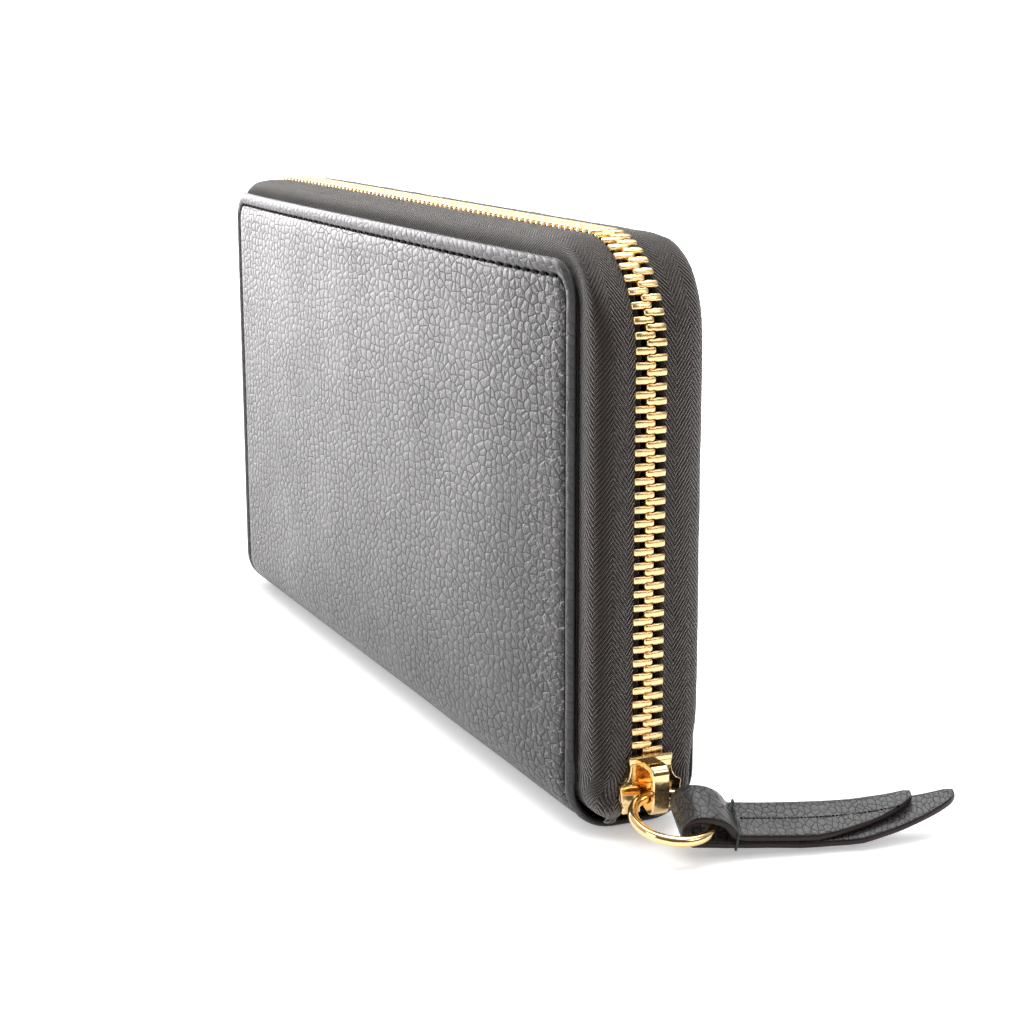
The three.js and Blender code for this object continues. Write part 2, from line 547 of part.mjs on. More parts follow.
function coinStop(end) {
  const x = end > 0 ? COIN_HALF - 3 : COIN_TEETH_X0 - 0.3, z = COIN_TOP + 1.1;
  return box(x - 1.2, x, -COIN_TAPE_Y, COIN_TAPE_Y, z, z + 1.3);
}
const COIN_SLIDE_X = COIN_TEETH_X1 + 0.4;
function coinSlider() {
  const z = COIN_TOP + 1.1 + 1.4 + RUN_GAP, x0 = COIN_SLIDE_X - 1.4, x1 = x0 + COIN_SLIDER_LEN, w = COIN_TAPE_Y + 0.2 + RUN_GAP;
  const top = box(x0, x1, -w - 0.6, w + 0.6, z, z + 0.7);
  const sides = [-1, 1].map((k) => box(x0, x1, k < 0 ? -w - 0.6 : w, k < 0 ? -w : w + 0.6, COIN_TOP + 0.9, z + 0.2));
  const foot = box(x0 + 0.6, x1 - 0.6, -1.3, 1.3, COIN_TOP - 0.2, COIN_TOP + 0.5);
  const post = box(x1 - 3.4, x1 - 1.6, -0.5, 0.5, COIN_TOP + 0.2, z + 0.2);
  const zb = z + 0.5, xa = x0 + 2.4, xb = xa + 4.6;
  const arch = prism([[xa, zb], [xb, zb], [xb, zb + 2.4], [xa, zb + 2.4]], -0.7, 0.7,
    (x, h, y) => new THREE.Vector3(x, y, h));
  const hole = box(xa + 0.8, xb - 0.8, -1, 1, z + 0.7, zb + 1.7);
  return join(top, ...sides, foot, post, cut(arch, hole));
}
function coinPuller() {
  const z = COIN_TOP + 1.1 + 1.4 + RUN_GAP + 0.7 + 0.2, xb = COIN_SLIDE_X - 1.4 + 2.4 + 0.8 + 1.3;
  const at = (x, y, h) => new THREE.Vector3(x, y, h);
  const body = prism([[xb, -1.9], [xb, 1.9], [xb - 5, 1.9], [xb - 18, 2.3], [xb - 20, 1.2], [xb - 20, -1.2],
    [xb - 18, -2.3], [xb - 5, -1.9]], z, z + 0.8, at);
  return cut(body, box(xb - 3.8, xb - 0.9, -1.05, 1.05, z - 1, z + 2));
}

// ---- assembly ----
for (const [name, side] of [['front', -1], ['back', 1]]) {
  add(`${name}_cover_leather`, coverLayer(side, 0, LEATHER, 0), 'leather');
  add(`${name}_board`, coverLayer(side, D_BOARD, D_BOARD + BOARD, BOARD_INSET, SPINE_R + 0.6), 'board');
  add(`${name}_lining`, coverLayer(side, D_LINING, D_LINING + LINING, LINING_INSET), 'lining');
  add(`${name}_zip_tape`, tapeBand(side), 'tape');
  add(`${name}_zip_teeth`, chain(side), 'gold');
  add(`${name}_top_stop`, topStop(side), 'gold');
  add(`${name}_card_panel`, sheet(side, D_CARD, CARD_T, -PANEL_HALF, PANEL_HALF, CARD_FOOT - 1, PANEL_TOP), 'card');
  for (const [col, c] of [['near', 1], ['far', -1]])
    for (let row = 0; row < CARD_ROWS; row++) add(`${name}_pocket_${col}_${row + 1}`, cardPocket(side, c, row), 'card');
  for (const [end, e] of [['near', 1], ['far', -1]]) add(`${name}_gusset_${end}`, gusset(side, e), 'cloth');
  add(`coin_wall_${name}`, coinWall(side), 'lining');
  add(`coin_tape_${name}`, coinTape(side), 'tape');
  add(`coin_teeth_${name}`, coinTeeth(side), 'gold');
}
add('spine_leather', spineLayer(0, LEATHER, 0), 'leather');
add('spine_board', spineLayer(D_BOARD, D_BOARD + BOARD, BOARD_INSET, true), 'board');
add('spine_lining', spineLayer(D_LINING, D_LINING + LINING, LINING_INSET), 'lining');
add('bottom_stop', bottomStop(), 'gold');
add('slider_body', sliderBody(), 'gold');
add('slider_bridge', sliderBridge(), 'gold');
add('pull_ring', pullRing(), 'gold');
add('pull_tab', pullTab(), 'leather');
add('tab_thread', tabThread(), 'thread');
add('coin_base', coinBase(), 'lining');
for (const [end, e] of [['near', 1], ['far', -1]]) {
  add(`coin_end_${end}`, coinEnd(e), 'cloth');
  add(`coin_stop_${end}`, coinStop(e), 'gold');
}
add('coin_slider', coinSlider(), 'gold');
add('coin_puller', coinPuller(), 'gold');

export default group;
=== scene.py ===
"""Zip around wallet: the looks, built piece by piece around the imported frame."""
import math
from math import cos, hypot, pi, radians, sin
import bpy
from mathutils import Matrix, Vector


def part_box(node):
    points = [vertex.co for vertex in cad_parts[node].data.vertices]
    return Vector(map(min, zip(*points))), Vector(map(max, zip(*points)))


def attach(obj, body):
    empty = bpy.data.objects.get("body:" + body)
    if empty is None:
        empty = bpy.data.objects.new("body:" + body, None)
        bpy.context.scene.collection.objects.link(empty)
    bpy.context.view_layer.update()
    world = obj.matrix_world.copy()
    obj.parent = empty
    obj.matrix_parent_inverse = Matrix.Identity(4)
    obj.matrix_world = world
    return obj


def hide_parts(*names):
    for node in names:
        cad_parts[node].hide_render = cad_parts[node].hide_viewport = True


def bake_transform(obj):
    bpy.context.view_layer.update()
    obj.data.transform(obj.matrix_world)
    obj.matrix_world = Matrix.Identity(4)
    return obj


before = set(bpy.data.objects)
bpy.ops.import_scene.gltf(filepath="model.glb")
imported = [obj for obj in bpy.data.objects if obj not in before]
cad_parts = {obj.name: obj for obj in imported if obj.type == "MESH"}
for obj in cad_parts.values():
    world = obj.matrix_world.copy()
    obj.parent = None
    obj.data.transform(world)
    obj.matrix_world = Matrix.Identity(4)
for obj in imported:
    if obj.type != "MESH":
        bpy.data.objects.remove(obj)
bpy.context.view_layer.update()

from types import SimpleNamespace

import bmesh
import bpy
from bpy.props import FloatProperty, FloatVectorProperty, PointerProperty
from mathutils import Matrix, Quaternion, Vector, noise

bl_info = {
    "name": "Zip Around Wallet",
    "version": (1, 0, 0),
    "blender": (4, 5, 0),
    "location": "3D View > Sidebar > Wallet",
    "description": "Builds a long zip around wallet in leather with a metal zip",
    "category": "Object",
}

MM = 0.001
FRONT, BACK = -1, 1
SIDES = (("front", FRONT), ("back", BACK))
ENDS = (("near", 1), ("far", -1))

# millimetres, like everything below but the materials and the stage
PLAY = 0.1  # air between the layers of a cover
BOARD = 0.8  # thickness of the stiffener
TOOTH_GRIP = 0.75  # how far a tooth reaches over the tape
SPLIT_FROM, SPLIT_TO = 2.1, 5.7  # above the slider's foot, where the two rows come together


def node_size(node, axis):
    low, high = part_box(node)
    return high[axis] - low[axis]


def node_edge(node, axis, top=True):
    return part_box(node)[1 if top else 0][axis]


# ---------------------------------------------------------------- sizes and colours
def length_prop(name, description, default):
    return FloatProperty(name=name, description=description, default=default, min=0.0,
                         unit="LENGTH", precision=5)


def colour_prop(name, description, default):
    return FloatVectorProperty(name=name, description=description, default=default, size=3,
                               min=0, max=1, subtype="COLOR")


class WalletSizes(bpy.types.PropertyGroup):
    length: length_prop("Length", "Cover length", node_size("front_cover_leather", 0))
    height: length_prop("Height", "Spine underside to cover top", node_edge("front_cover_leather", 2))
    thick: length_prop("Thickness", "Over both covers",
                       node_edge("back_cover_leather", 1) - node_edge("front_cover_leather", 1, False))
    bend: length_prop("Spine bend", "Outside radius between spine and cover", 0.00865)
    corner: length_prop("Corner", "Radius of the cover's top corners", 0.007)
    corner_back: length_prop("Back corner", "Radius of the back cover's softer top corners", 0.011)
    leather: length_prop("Leather", "Leather thickness", 0.0012)
    puff: length_prop("Swell", "How far the middle of a cover swells beyond its edges", 0.0013)
    stitch_inset: length_prop("Stitch inset", "Stitch line from the cover edge", 0.003)
    stitch_pitch: length_prop("Stitch pitch", "Spacing of the stitches", 0.0037)
    proud_end: length_prop("Zip stand-off, ends", "Chain beyond the cover ends", 0.0045)
    proud_top: length_prop("Zip stand-off, top", "Chain above the cover top", 0.003)
    zip_corner: length_prop("Zip corner", "Radius of the chain's corners", 0.019)
    tape_flat: length_prop("Tape flat", "Half width of the flat tape beside the teeth", 0.0062)
    tape: length_prop("Tape", "Tape thickness", 0.0006)
    tooth_pitch: length_prop("Tooth pitch", "Spacing of the teeth on one side", 0.0025)
    tooth_out: length_prop("Tooth end", "Outer end of a tooth from the middle line", 0.003)
    split: length_prop("Split", "How far each side parts inside the slider", 0.00195)
    slider_foot: length_prop("Slider foot", "Slider's wide end above the base",
                             node_edge("slider_body", 2, False))
    slider_len: length_prop("Slider length", "Slider, end to end", node_size("slider_body", 2))
    ring_radius: length_prop("Ring radius", "To the middle of the wire", 0.0071)
    ring_wire: length_prop("Ring wire", "Wire thickness", 0.0018)
    tab_width: length_prop("Tab width", "Pull tab's width", 0.0104)
    tab_thick: length_prop("Tab thickness", "One layer of the pull tab", 0.0014)
    coin_top: length_prop("Coin pocket top", "Top of the coin pocket's walls",
                          node_edge("coin_wall_front", 2))
    coin_half: length_prop("Coin pocket half length", "Half the coin pocket's length",
                           node_edge("coin_wall_front", 0))


class WalletColours(bpy.types.PropertyGroup):
    leather: colour_prop("Leather", "Grain side", (0.030, 0.028, 0.029))
    edge: colour_prop("Edge paint", "Painted leather edge", (0.026, 0.015, 0.013))
    tape: colour_prop("Tape", "Zip tape", (0.042, 0.031, 0.027))
    metal: colour_prop("Metal", "Teeth, slider and ring", (0.89, 0.63, 0.32))
    thread: colour_prop("Thread", "Stitching", (0.012, 0.012, 0.012))
    wrap: colour_prop("Neck thread", "Thread across the tab's neck", (0.045, 0.060, 0.052))
    lining: colour_prop("Lining", "Woven lining", (0.022, 0.020, 0.020))
    card: colour_prop("Card leather", "Smooth leather of the card pockets", (0.026, 0.024, 0.025))
    floor: colour_prop("Floor", "Floor", (0.93, 0.93, 0.935))


def sizes():
    """The sizes in millimetres, with the ones derived from them."""
    group = bpy.context.scene.wallet_sizes
    s = SimpleNamespace(**{k: getattr(group, k) / MM for k in group.__annotations__})
    s.half_l, s.half_t = s.length / 2, s.thick / 2
    s.flat = s.half_t - s.bend
    s.zip_x = s.half_l + s.proud_end - s.zip_corner
    s.zip_z = s.height + s.proud_top - s.zip_corner
    s.arc = s.zip_corner * pi / 2
    s.course = 2 * (s.zip_x + s.zip_z + s.arc)
    s.split_low, s.split_high = s.slider_foot + SPLIT_FROM, s.slider_foot + SPLIT_TO
    s.tape_edge = s.tooth_out - TOOTH_GRIP
    return s


def sided(s, side):
    """The same sizes with the corner radius of the cover on this side."""
    return SimpleNamespace(**{**vars(s), "corner": s.corner if side < 0 else s.corner_back})


def smooth(t):
    t = max(0.0, min(1.0, t))
    return t * t * (3 - 2 * t)


def mix(a, b, t):
    return a + (b - a) * t


# ---------------------------------------------------------------- mesh helpers
def grid(nx, ny, place, uv=None):
    """A sheet of nx by ny cells with each corner put where place(i, j) says."""
    bm = bmesh.new()
    bmesh.ops.create_grid(bm, x_segments=nx, y_segments=ny, size=1.0)
    low = min(v.co.x for v in bm.verts)
    span = -2 * low
    spot = {v: (round((v.co.x / span + 0.5) * nx), round((v.co.y / span + 0.5) * ny))
            for v in bm.verts}
    if uv:
        layer = bm.loops.layers.uv.new("weave")
        for face in bm.faces:
            for loop in face.loops:
                loop[layer].uv = uv(*spot[loop.vert])
    for v, (i, j) in spot.items():
        v.co = Vector(place(i, j))
    return bm


def tube(sections, closed=False):
    """A closed skin over a row of loops of points, with its ends filled."""
    m, n = len(sections[0]), len(sections)
    bm = grid(m, n if closed else n - 1, lambda i, j: sections[j % n][i % m])
    bmesh.ops.remove_doubles(bm, verts=bm.verts, dist=1e-5)
    if not closed:
        bmesh.ops.holes_fill(bm, edges=[e for e in bm.edges if e.is_boundary], sides=0)
    bmesh.ops.recalc_face_normals(bm, faces=bm.faces)
    return bm


def round_wire(points, radius, sides):
    """A round wire along a line of points, kept from twisting."""
    loops, side, last = [], None, len(points) - 1
    for k, p in enumerate(points):
        t = (points[min(last, k + 1)] - points[max(0, k - 1)]).normalized()
        if side is None:
            side = t.orthogonal().normalized()
        side = (side - t * side.dot(t)).normalized()
        up = t.cross(side)
        loops.append([p + (side * cos(2 * pi * q / sides) + up * sin(2 * pi * q / sides)) * radius
                      for q in range(sides)])
    return tube(loops)


def rounded(bm, bevel, segments):
    """The same mesh with all its edges rounded."""
    bmesh.ops.bevel(bm, geom=list(bm.edges), offset=bevel, segments=segments, profile=0.5,
                    affect="EDGES", material=-1, clamp_overlap=True)
    return bm


def prism(outline, low, high, at, bevel, segments=2):
    """A flat outline given depth from low to high, its edges rounded. at(u, v, w) places a point."""
    bm = bmesh.new()
    face = bm.faces.new([bm.verts.new(at(u, v, low)) for u, v in outline])
    made = bmesh.ops.extrude_face_region(bm, geom=[face])
    top = [g for g in made["geom"] if isinstance(g, bmesh.types.BMVert)]
    bmesh.ops.translate(bm, verts=top, vec=Vector(at(0, 0, high)) - Vector(at(0, 0, low)))
    bmesh.ops.recalc_face_normals(bm, faces=bm.faces)
    return rounded(bm, bevel, segments)


def deep_x(y, z, x):
    """For a prism with its outline in YZ."""
    return x, y, z


def deep_y(x, z, y):
    """For a prism with its outline in XZ."""
    return x, y, z


def deep_z(x, y, z):
    """For a prism with its outline in XY."""
    return x, y, z


def box(x0, x1, y0, y1, z0, z1, bevel, segments=2):
    bm = bmesh.new()
    bmesh.ops.create_cube(bm, size=1.0)
    bmesh.ops.scale(bm, vec=(x1 - x0, y1 - y0, z1 - z0), verts=bm.verts)
    bmesh.ops.translate(bm, vec=((x0 + x1) / 2, (y0 + y1) / 2, (z0 + z1) / 2), verts=bm.verts)
    return rounded(bm, bevel, segments)


def gather(parts):
    """Several meshes in one, emptying the parts. A part may come with a list of places for it."""
    whole = bmesh.new()
    for part in parts:
        bm, places = part if isinstance(part, tuple) else (part, [Matrix.Identity(4)])
        mesh = bpy.data.meshes.new("part")
        bm.to_mesh(mesh)
        bm.free()
        for place in places:
            copy = mesh.copy()
            copy.transform(place)
            whole.from_mesh(copy)
            bpy.data.meshes.remove(copy)
        bpy.data.meshes.remove(mesh)
    return whole


def place_at(origin, x, y, z):
    """The matrix that takes the axes to x, y and z at origin."""
    m = Matrix((x, y, z)).transposed().to_4x4()
    m.translation = origin
    return m


def make(name, bm, materials, body, nodes=(), facing=None, thick=0.0, offset=-1.0,
         blend=None, shade=True, even=True):
    """Turns a mesh in millimetres into a finished piece that rides on its body; given a blend, it is
    only baked in place and rides on nothing.
    """
    if facing is not None:
        bm.normal_update()
        total = sum(f.normal.dot(Vector(facing(f.calc_center_median()))) * f.calc_area()
                    for f in bm.faces)
        if total < 0:
            bmesh.ops.reverse_faces(bm, faces=bm.faces)
    bmesh.ops.scale(bm, vec=(MM, MM, MM), verts=bm.verts)
    for face in bm.faces:
        face.smooth = shade
    mesh = bpy.data.meshes.new(name)
    bm.to_mesh(mesh)
    bm.free()
    obj = bpy.data.objects.new(name, mesh)
    bpy.context.scene.collection.objects.link(obj)
    for material in materials:
        mesh.materials.append(material)
    if thick:
        mod = obj.modifiers.new("Thickness", "SOLIDIFY")
        mod.thickness, mod.offset, mod.use_even_offset = thick * MM, offset, even
        mod.use_rim = True
        if len(materials) > 1:
            mod.material_offset_rim = 1
    if blend:
        other, start, end = blend
        [c * MM for c in start]
        [c * MM for c in end]
        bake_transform(obj)
    else:
        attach(obj, body)
    if nodes:
        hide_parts(*nodes)
    return obj


# ---------------------------------------------------------------- the covers' and zip's geometry
def wrap_point(s, t, depth, side):
    """(y, z) on the skin, t along the outside from the spine's middle line, depth below it."""
    arc = s.bend * pi / 2
    if t <= s.flat:
        return side * t, depth
    if t <= s.flat + arc:
        a, r = (t - s.flat) / s.bend, s.bend - depth
        return side * (s.flat + r * sin(a)), s.bend - r * cos(a)
    return side * (s.half_t - depth), s.bend + t - s.flat - arc


def reach(s, z, inset=0.0):
    """Half length of the cover at height z."""
    r = s.corner - inset
    over = max(0.0, z - (s.height - s.corner))
    return s.half_l - inset - r + math.sqrt(max(0.0, r * r - min(over, r) ** 2))


def edge_distance(s, x, z):
    """How far a point of the cover lies inside its outline."""
    ax, az = s.half_l - abs(x), s.height - z
    if ax < s.corner and az < s.corner:
        return s.corner - hypot(s.corner - ax, s.corner - az)
    return min(ax, az)


def relief(s, x, t, z, side):
    """How far the leather swells out of the plain cover, with its turned edge and stitched groove."""
    d = edge_distance(s, x, z)
    on_cover = smooth((t - s.flat) / (s.bend * pi / 2))
    out = -0.5 * (1 - min(d, 0.9) / 0.9) ** 2
    out += 0.16 * math.exp(-((d - 1.5) / 0.75) ** 2)
    out -= 0.42 * math.exp(-((d - s.stitch_inset) / 0.5) ** 2) * on_cover
    out += 0.18 * smooth((d - s.stitch_inset - 0.2) / 3.0) * on_cover
    ends = max(0.0, min(1.0, (s.half_l - abs(x) - s.stitch_inset) / 46))
    tops = max(0.0, min(1.0, (s.height - z - s.stitch_inset) / 34))
    foot = max(0.0, min(1.0, (z - 4) / 26))
    over_end, over_top, over_foot = (1 - (1 - share) ** 2 for share in (ends, tops, foot))
    out += s.puff * over_end * (0.72 + 0.28 * over_top) * over_foot
    wave = noise.noise(Vector((x * 0.035, z * 0.05, side * 4.0))) * 0.16
    wave += noise.noise(Vector((x * 0.12, z * 0.14, side * 7.0))) * 0.05
    crimp = noise.noise(Vector((x * 0.33, z * 0.33, side * 2.0)))
    crimp *= math.exp(-((d - 2.2) / 1.3) ** 2) * 0.07
    return out + wave * on_cover * smooth(d / 8) + crimp


def spread(marks, low, high, step):
    """Even steps between low and high with extra marks near both ends."""
    n = max(1, round((high - low) / step))
    inner = [low + (high - low) * k / n for k in range(1, n)]
    return sorted({round(v, 4) for v in [*marks, *inner, low, high]})


def cover_corner(s, f):
    """The cover's outline beside the zip's corner: point (x, z) and direction, f from end to top."""
    x, z, arc = s.half_l - s.corner, s.height - s.corner, s.corner * pi / 2
    up, over = z - s.zip_z, x - s.zip_x
    t = f * 2 * (up + arc / 2) if f < 0.5 else up + arc / 2 + (f * 2 - 1) * (over + arc / 2)
    if t <= up:
        return s.half_l, s.zip_z + t, 0.0
    if t >= up + arc:
        return x - (t - up - arc), s.height, pi / 2
    a = (t - up) / s.corner
    return x + s.corner * cos(a), z + s.corner * sin(a), a


def course_place(s, at):
    """Where the zip is after a length at: its place beside the cover's outline and on its own line."""
    far = at > s.course / 2
    t, sign = (s.course - at, -1) if far else (at, 1)
    if t <= s.zip_z:
        edge, chain, height = (s.half_l, t, 0.0), (s.half_l + s.proud_end, t, 0.0), t
    elif t <= s.zip_z + s.arc:
        a = (t - s.zip_z) / s.zip_corner
        edge, height = cover_corner(s, a * 2 / pi), s.zip_z
        chain = (s.zip_x + s.zip_corner * cos(a), s.zip_z + s.zip_corner * sin(a), a)
    else:
        x, height = s.zip_x - (t - s.zip_z - s.arc), s.height
        edge, chain = (x, s.height, pi / 2), (x, s.height + s.proud_top, pi / 2)
    return SimpleNamespace(edge=edge, chain=chain, angle=chain[2], sign=sign, z=height, far=far)


def course_point(place, n, y, part):
    """A point n outwards at y. part 0 is on the cover's outline and part 1 on the chain's line."""
    x0, z0, a0 = place.edge
    x1, z1, a1 = place.chain
    x = mix(x0 + n * cos(a0), x1 + n * cos(a1), part)
    return Vector((place.sign * x, y, mix(z0 + n * sin(a0), z1 + n * sin(a1), part)))


def parted(s, place):
    """How far the two rows stand apart at this place."""
    if place.far or place.angle > 0:
        return 0.0
    share = (s.split_high - place.z) / (s.split_high - s.split_low)
    return s.split * max(0.0, min(1.0, share))


# ---------------------------------------------------------------- materials
class Net:
    """Short calls for building a node tree."""

    def __init__(self, tree):
        self.tree = tree

    def node(self, kind, **values):
        made = self.tree.nodes.new(kind)
        for key, value in values.items():
            setattr(made, key, value)
        return made

    def put(self, value, socket):
        if isinstance(value, bpy.types.NodeSocket):
            self.tree.links.new(value, socket)
        elif value is not None:
            socket.default_value = value

    def math(self, operation, a, b=None, c=None, clamp=False):
        made = self.node("ShaderNodeMath", operation=operation, use_clamp=clamp)
        for value, socket in zip((a, b, c), made.inputs):
            self.put(value, socket)
        return made.outputs[0]

    def vector(self, operation, a, b=None, scale=None):
        made = self.node("ShaderNodeVectorMath", operation=operation)
        for value, socket in zip((a, b, None, scale), made.inputs):
            self.put(value, socket)
        return made.outputs[0]

    def ramp(self, value, low, high, to_low=0.0, to_high=1.0):
        made = self.node("ShaderNodeMapRange", interpolation_type="SMOOTHSTEP")
        for v, socket in zip((value, low, high, to_low, to_high), made.inputs):
            self.put(v, socket)
        return made.outputs[0]

    def noise(self, vector, scale, detail=2.0, rough=0.5, out=0):
        made = self.node("ShaderNodeTexNoise")
        self.put(vector, made.inputs["Vector"])
        self.put(scale, made.inputs["Scale"])
        self.put(detail, made.inputs["Detail"])
        self.put(rough, made.inputs["Roughness"])
        return made.outputs[out]

    def cells(self, vector, scale, feature="DISTANCE_TO_EDGE", random=1.0, dimensions="3D"):
        made = self.node("ShaderNodeTexVoronoi", feature=feature, voronoi_dimensions=dimensions)
        self.put(vector, made.inputs["Vector"])
        self.put(scale, made.inputs["Scale"])
        self.put(random, made.inputs["Randomness"])
        return made.outputs[0]

    def blend(self, fac, a, b):
        made = self.node("ShaderNodeMix", data_type="RGBA", blend_type="MIX")
        self.put(fac, made.inputs[0])
        self.put(a, made.inputs[6])
        self.put(b, made.inputs[7])
        return made.outputs[2]

    def bump(self, height, distance):
        made = self.node("ShaderNodeBump")
        made.inputs["Strength"].default_value = 1.0
        made.inputs["Distance"].default_value = distance
        self.put(height, made.inputs["Height"])
        return made.outputs[0]


def shader_group(name, inputs, outputs):
    """An empty shader node group with its named sockets."""
    tree = bpy.data.node_groups.new(name, "ShaderNodeTree")
    for label, kind, default in inputs:
        socket = tree.interface.new_socket(name=label, in_out="INPUT", socket_type=kind)
        if default is not None:
            socket.default_value = default
    for label, kind in outputs:
        tree.interface.new_socket(name=label, in_out="OUTPUT", socket_type=kind)
    net = Net(tree)
    return tree, net, net.node("NodeGroupInput"), net.node("NodeGroupOutput")


def pebble_group():
    """Tumbled grain in the vector's first two axes: pebbles, thin creases and drawn-out folds."""
    tree, net, enter, leave = shader_group(
        "Pebble Grain",
        [("Vector", "NodeSocketVector", None), ("Scale", "NodeSocketFloat", 480.0),
         ("Wrinkle", "NodeSocketFloat", 0.6)],
        [("Height", "NodeSocketFloat"), ("Crease", "NodeSocketFloat"), ("Fold", "NodeSocketFloat")])
    at, scale = enter.outputs["Vector"], enter.outputs["Scale"]

    def scaled(share):
        return net.math("MULTIPLY", scale, share)

    def warped(vector, share, reach):
        warp = net.noise(vector, scaled(share), 2.0, 0.5, out=1)
        warp = net.vector("SUBTRACT", warp, (0.5, 0.5, 0.5))
        warp = net.vector("SCALE", warp, scale=net.math("DIVIDE", reach, scale))
        return net.vector("ADD", vector, warp)

    def cells(vector, share, random):
        return net.cells(vector, scaled(share), random=random, dimensions="2D")

    bent = warped(warped(at, 0.06, 2.2), 0.4, 0.3)
    drawn = net.vector("MULTIPLY", bent, (0.50, 0.80, 1.0))
    turned = net.node("ShaderNodeMapping")
    turned.inputs["Rotation"].default_value = (0.0, 0.0, radians(35))
    net.put(bent, turned.inputs["Vector"])
    big, small = cells(drawn, 1.0, 0.85), cells(drawn, 1.9, 0.95)
    long = cells(net.vector("MULTIPLY", turned.outputs[0], (0.26, 1.0, 1.0)), 0.9, 1.0)
    faint = net.ramp(net.noise(at, scaled(0.045), 2.0, 0.5), 0.40, 0.66, 0.1, 0.55)
    clear = net.ramp(net.noise(at, scaled(0.11), 2.0, 0.5), 0.34, 0.58, 0.7, 1.0)
    big_line = net.math("MULTIPLY", net.ramp(big, 0.0, 0.09, 1.0, 0.0), clear)
    small_line = net.math("MULTIPLY", net.ramp(small, 0.0, 0.09, 1.0, 0.0), faint)
    drawn_out = net.ramp(long, 0.0, 0.07, 1.0, 0.0)
    fold = net.math("MULTIPLY", drawn_out, enter.outputs["Wrinkle"])
    crease = net.math("MAXIMUM", net.math("MAXIMUM", big_line, small_line), fold, clamp=True)
    strands = net.noise(net.vector("MULTIPLY", at, (1.0, 0.3, 1.0)), scaled(3.2), 2.0, 0.6)
    fine = net.noise(at, scaled(7.0), 2.0, 0.5)
    dome = net.math("MULTIPLY_ADD", net.math("POWER", net.ramp(big, 0.0, 0.5), 0.55), 0.85,
                    net.math("MULTIPLY", net.ramp(small, 0.0, 0.3), 0.14))
    height = net.math("SUBTRACT", dome, net.math("MULTIPLY", crease, 0.45))
    height = net.math("MULTIPLY_ADD", fine, 0.05, height)
    height = net.math("MULTIPLY_ADD", net.ramp(strands, 0.4, 0.6), 0.12, height)
    net.put(height, leave.inputs["Height"])
    net.put(crease, leave.inputs["Crease"])
    net.put(drawn_out, leave.inputs["Fold"])
    return tree


def herringbone_group():
    """Twill ribs that turn back and forth in columns along the tape."""
    tree, net, enter, leave = shader_group(
        "Herringbone",
        [("Vector", "NodeSocketVector", None), ("Column", "NodeSocketFloat", 2.9),
         ("Rib", "NodeSocketFloat", 1.0)],
        [("Height", "NodeSocketFloat"), ("Rib", "NodeSocketFloat"), ("Fuzz", "NodeSocketFloat")])
    at = enter.outputs["Vector"]
    split = net.node("ShaderNodeSeparateXYZ")
    net.put(at, split.inputs[0])
    u, v = split.outputs[0], split.outputs[1]
    wobble = net.math("MULTIPLY", net.math("SUBTRACT", net.noise(at, 1.1, 2.0), 0.5), 0.35)
    zig = net.math("ADD", u, net.math("MULTIPLY", wobble, 0.4))
    zig = net.math("PINGPONG", zig, enter.outputs["Column"])
    run = net.math("ADD", net.math("MULTIPLY_ADD", zig, 1.55, v), wobble)
    turn = net.math("DIVIDE", run, enter.outputs["Rib"])
    rib = net.ramp(net.math("PINGPONG", turn, 0.5), 0.04, 0.30)
    yarn_at = net.math("MULTIPLY_ADD", zig, -0.8, v)
    yarn = net.ramp(net.math("PINGPONG", net.math("DIVIDE", yarn_at, 0.34), 0.5), 0.0, 0.35)
    fuzz = net.noise(at, 6.0, 4.0, 0.7)
    lint = net.ramp(net.noise(at, 2.2, 5.0, 0.75), 0.60, 0.72)
    shown = net.math("MULTIPLY", rib, net.math("MULTIPLY_ADD", yarn, 0.5, 0.5))
    height = net.math("MULTIPLY_ADD", fuzz, 0.5, shown)
    net.put(height, leave.inputs["Height"])
    shown = net.math("MULTIPLY", shown, net.math("MULTIPLY_ADD", fuzz, 0.9, 0.5), clamp=True)
    net.put(shown, leave.inputs["Rib"])
    net.put(lint, leave.inputs["Fuzz"])
    return tree


def wear_group():
    """Soft blotches, fine scratches and small specks, for any finish."""
    tree, net, enter, leave = shader_group(
        "Handling Marks",
        [("Vector", "NodeSocketVector", None), ("Blotch Scale", "NodeSocketFloat", 90.0),
         ("Scratch Scale", "NodeSocketFloat", 900.0)],
        [("Blotch", "NodeSocketFloat"), ("Scratch", "NodeSocketFloat"), ("Speck", "NodeSocketFloat")])
    at = enter.outputs["Vector"]
    blotch = net.noise(at, enter.outputs["Blotch Scale"], 4.0, 0.6)
    drawn = net.vector("MULTIPLY", at, (1.0, 0.08, 0.35))
    scratch = net.ramp(net.noise(drawn, enter.outputs["Scratch Scale"], 3.0, 0.65), 0.58, 0.74)
    speck = net.ramp(net.cells(at, 420.0, "F1"), 0.05, 0.03)
    gate = net.ramp(net.noise(at, 160.0, 1.0), 0.62, 0.70)
    net.put(blotch, leave.inputs["Blotch"])
    net.put(scratch, leave.inputs["Scratch"])
    net.put(net.math("MULTIPLY", speck, gate), leave.inputs["Speck"])
    return tree


GROUPS = {}


def group_node(net, key, maker, **values):
    if key not in GROUPS:
        GROUPS[key] = maker()
    made = net.node("ShaderNodeGroup", node_tree=GROUPS[key])
    for label, value in values.items():
        net.put(value, made.inputs[label.replace("_", " ")])
    return made


def base_material(name, colour, roughness, metallic=0.0):
    """A new material with its Principled BSDF, and the Net to add to it."""
    material = bpy.data.materials.new(name)
    material.use_nodes = True
    net = Net(material.node_tree)
    shader = material.node_tree.nodes["Principled BSDF"]
    shader.inputs["Base Color"].default_value = (*colour, 1.0)
    shader.inputs["Roughness"].default_value = roughness
    shader.inputs["Metallic"].default_value = metallic
    material.diffuse_color = (*colour, 1.0)
    return material, net, shader


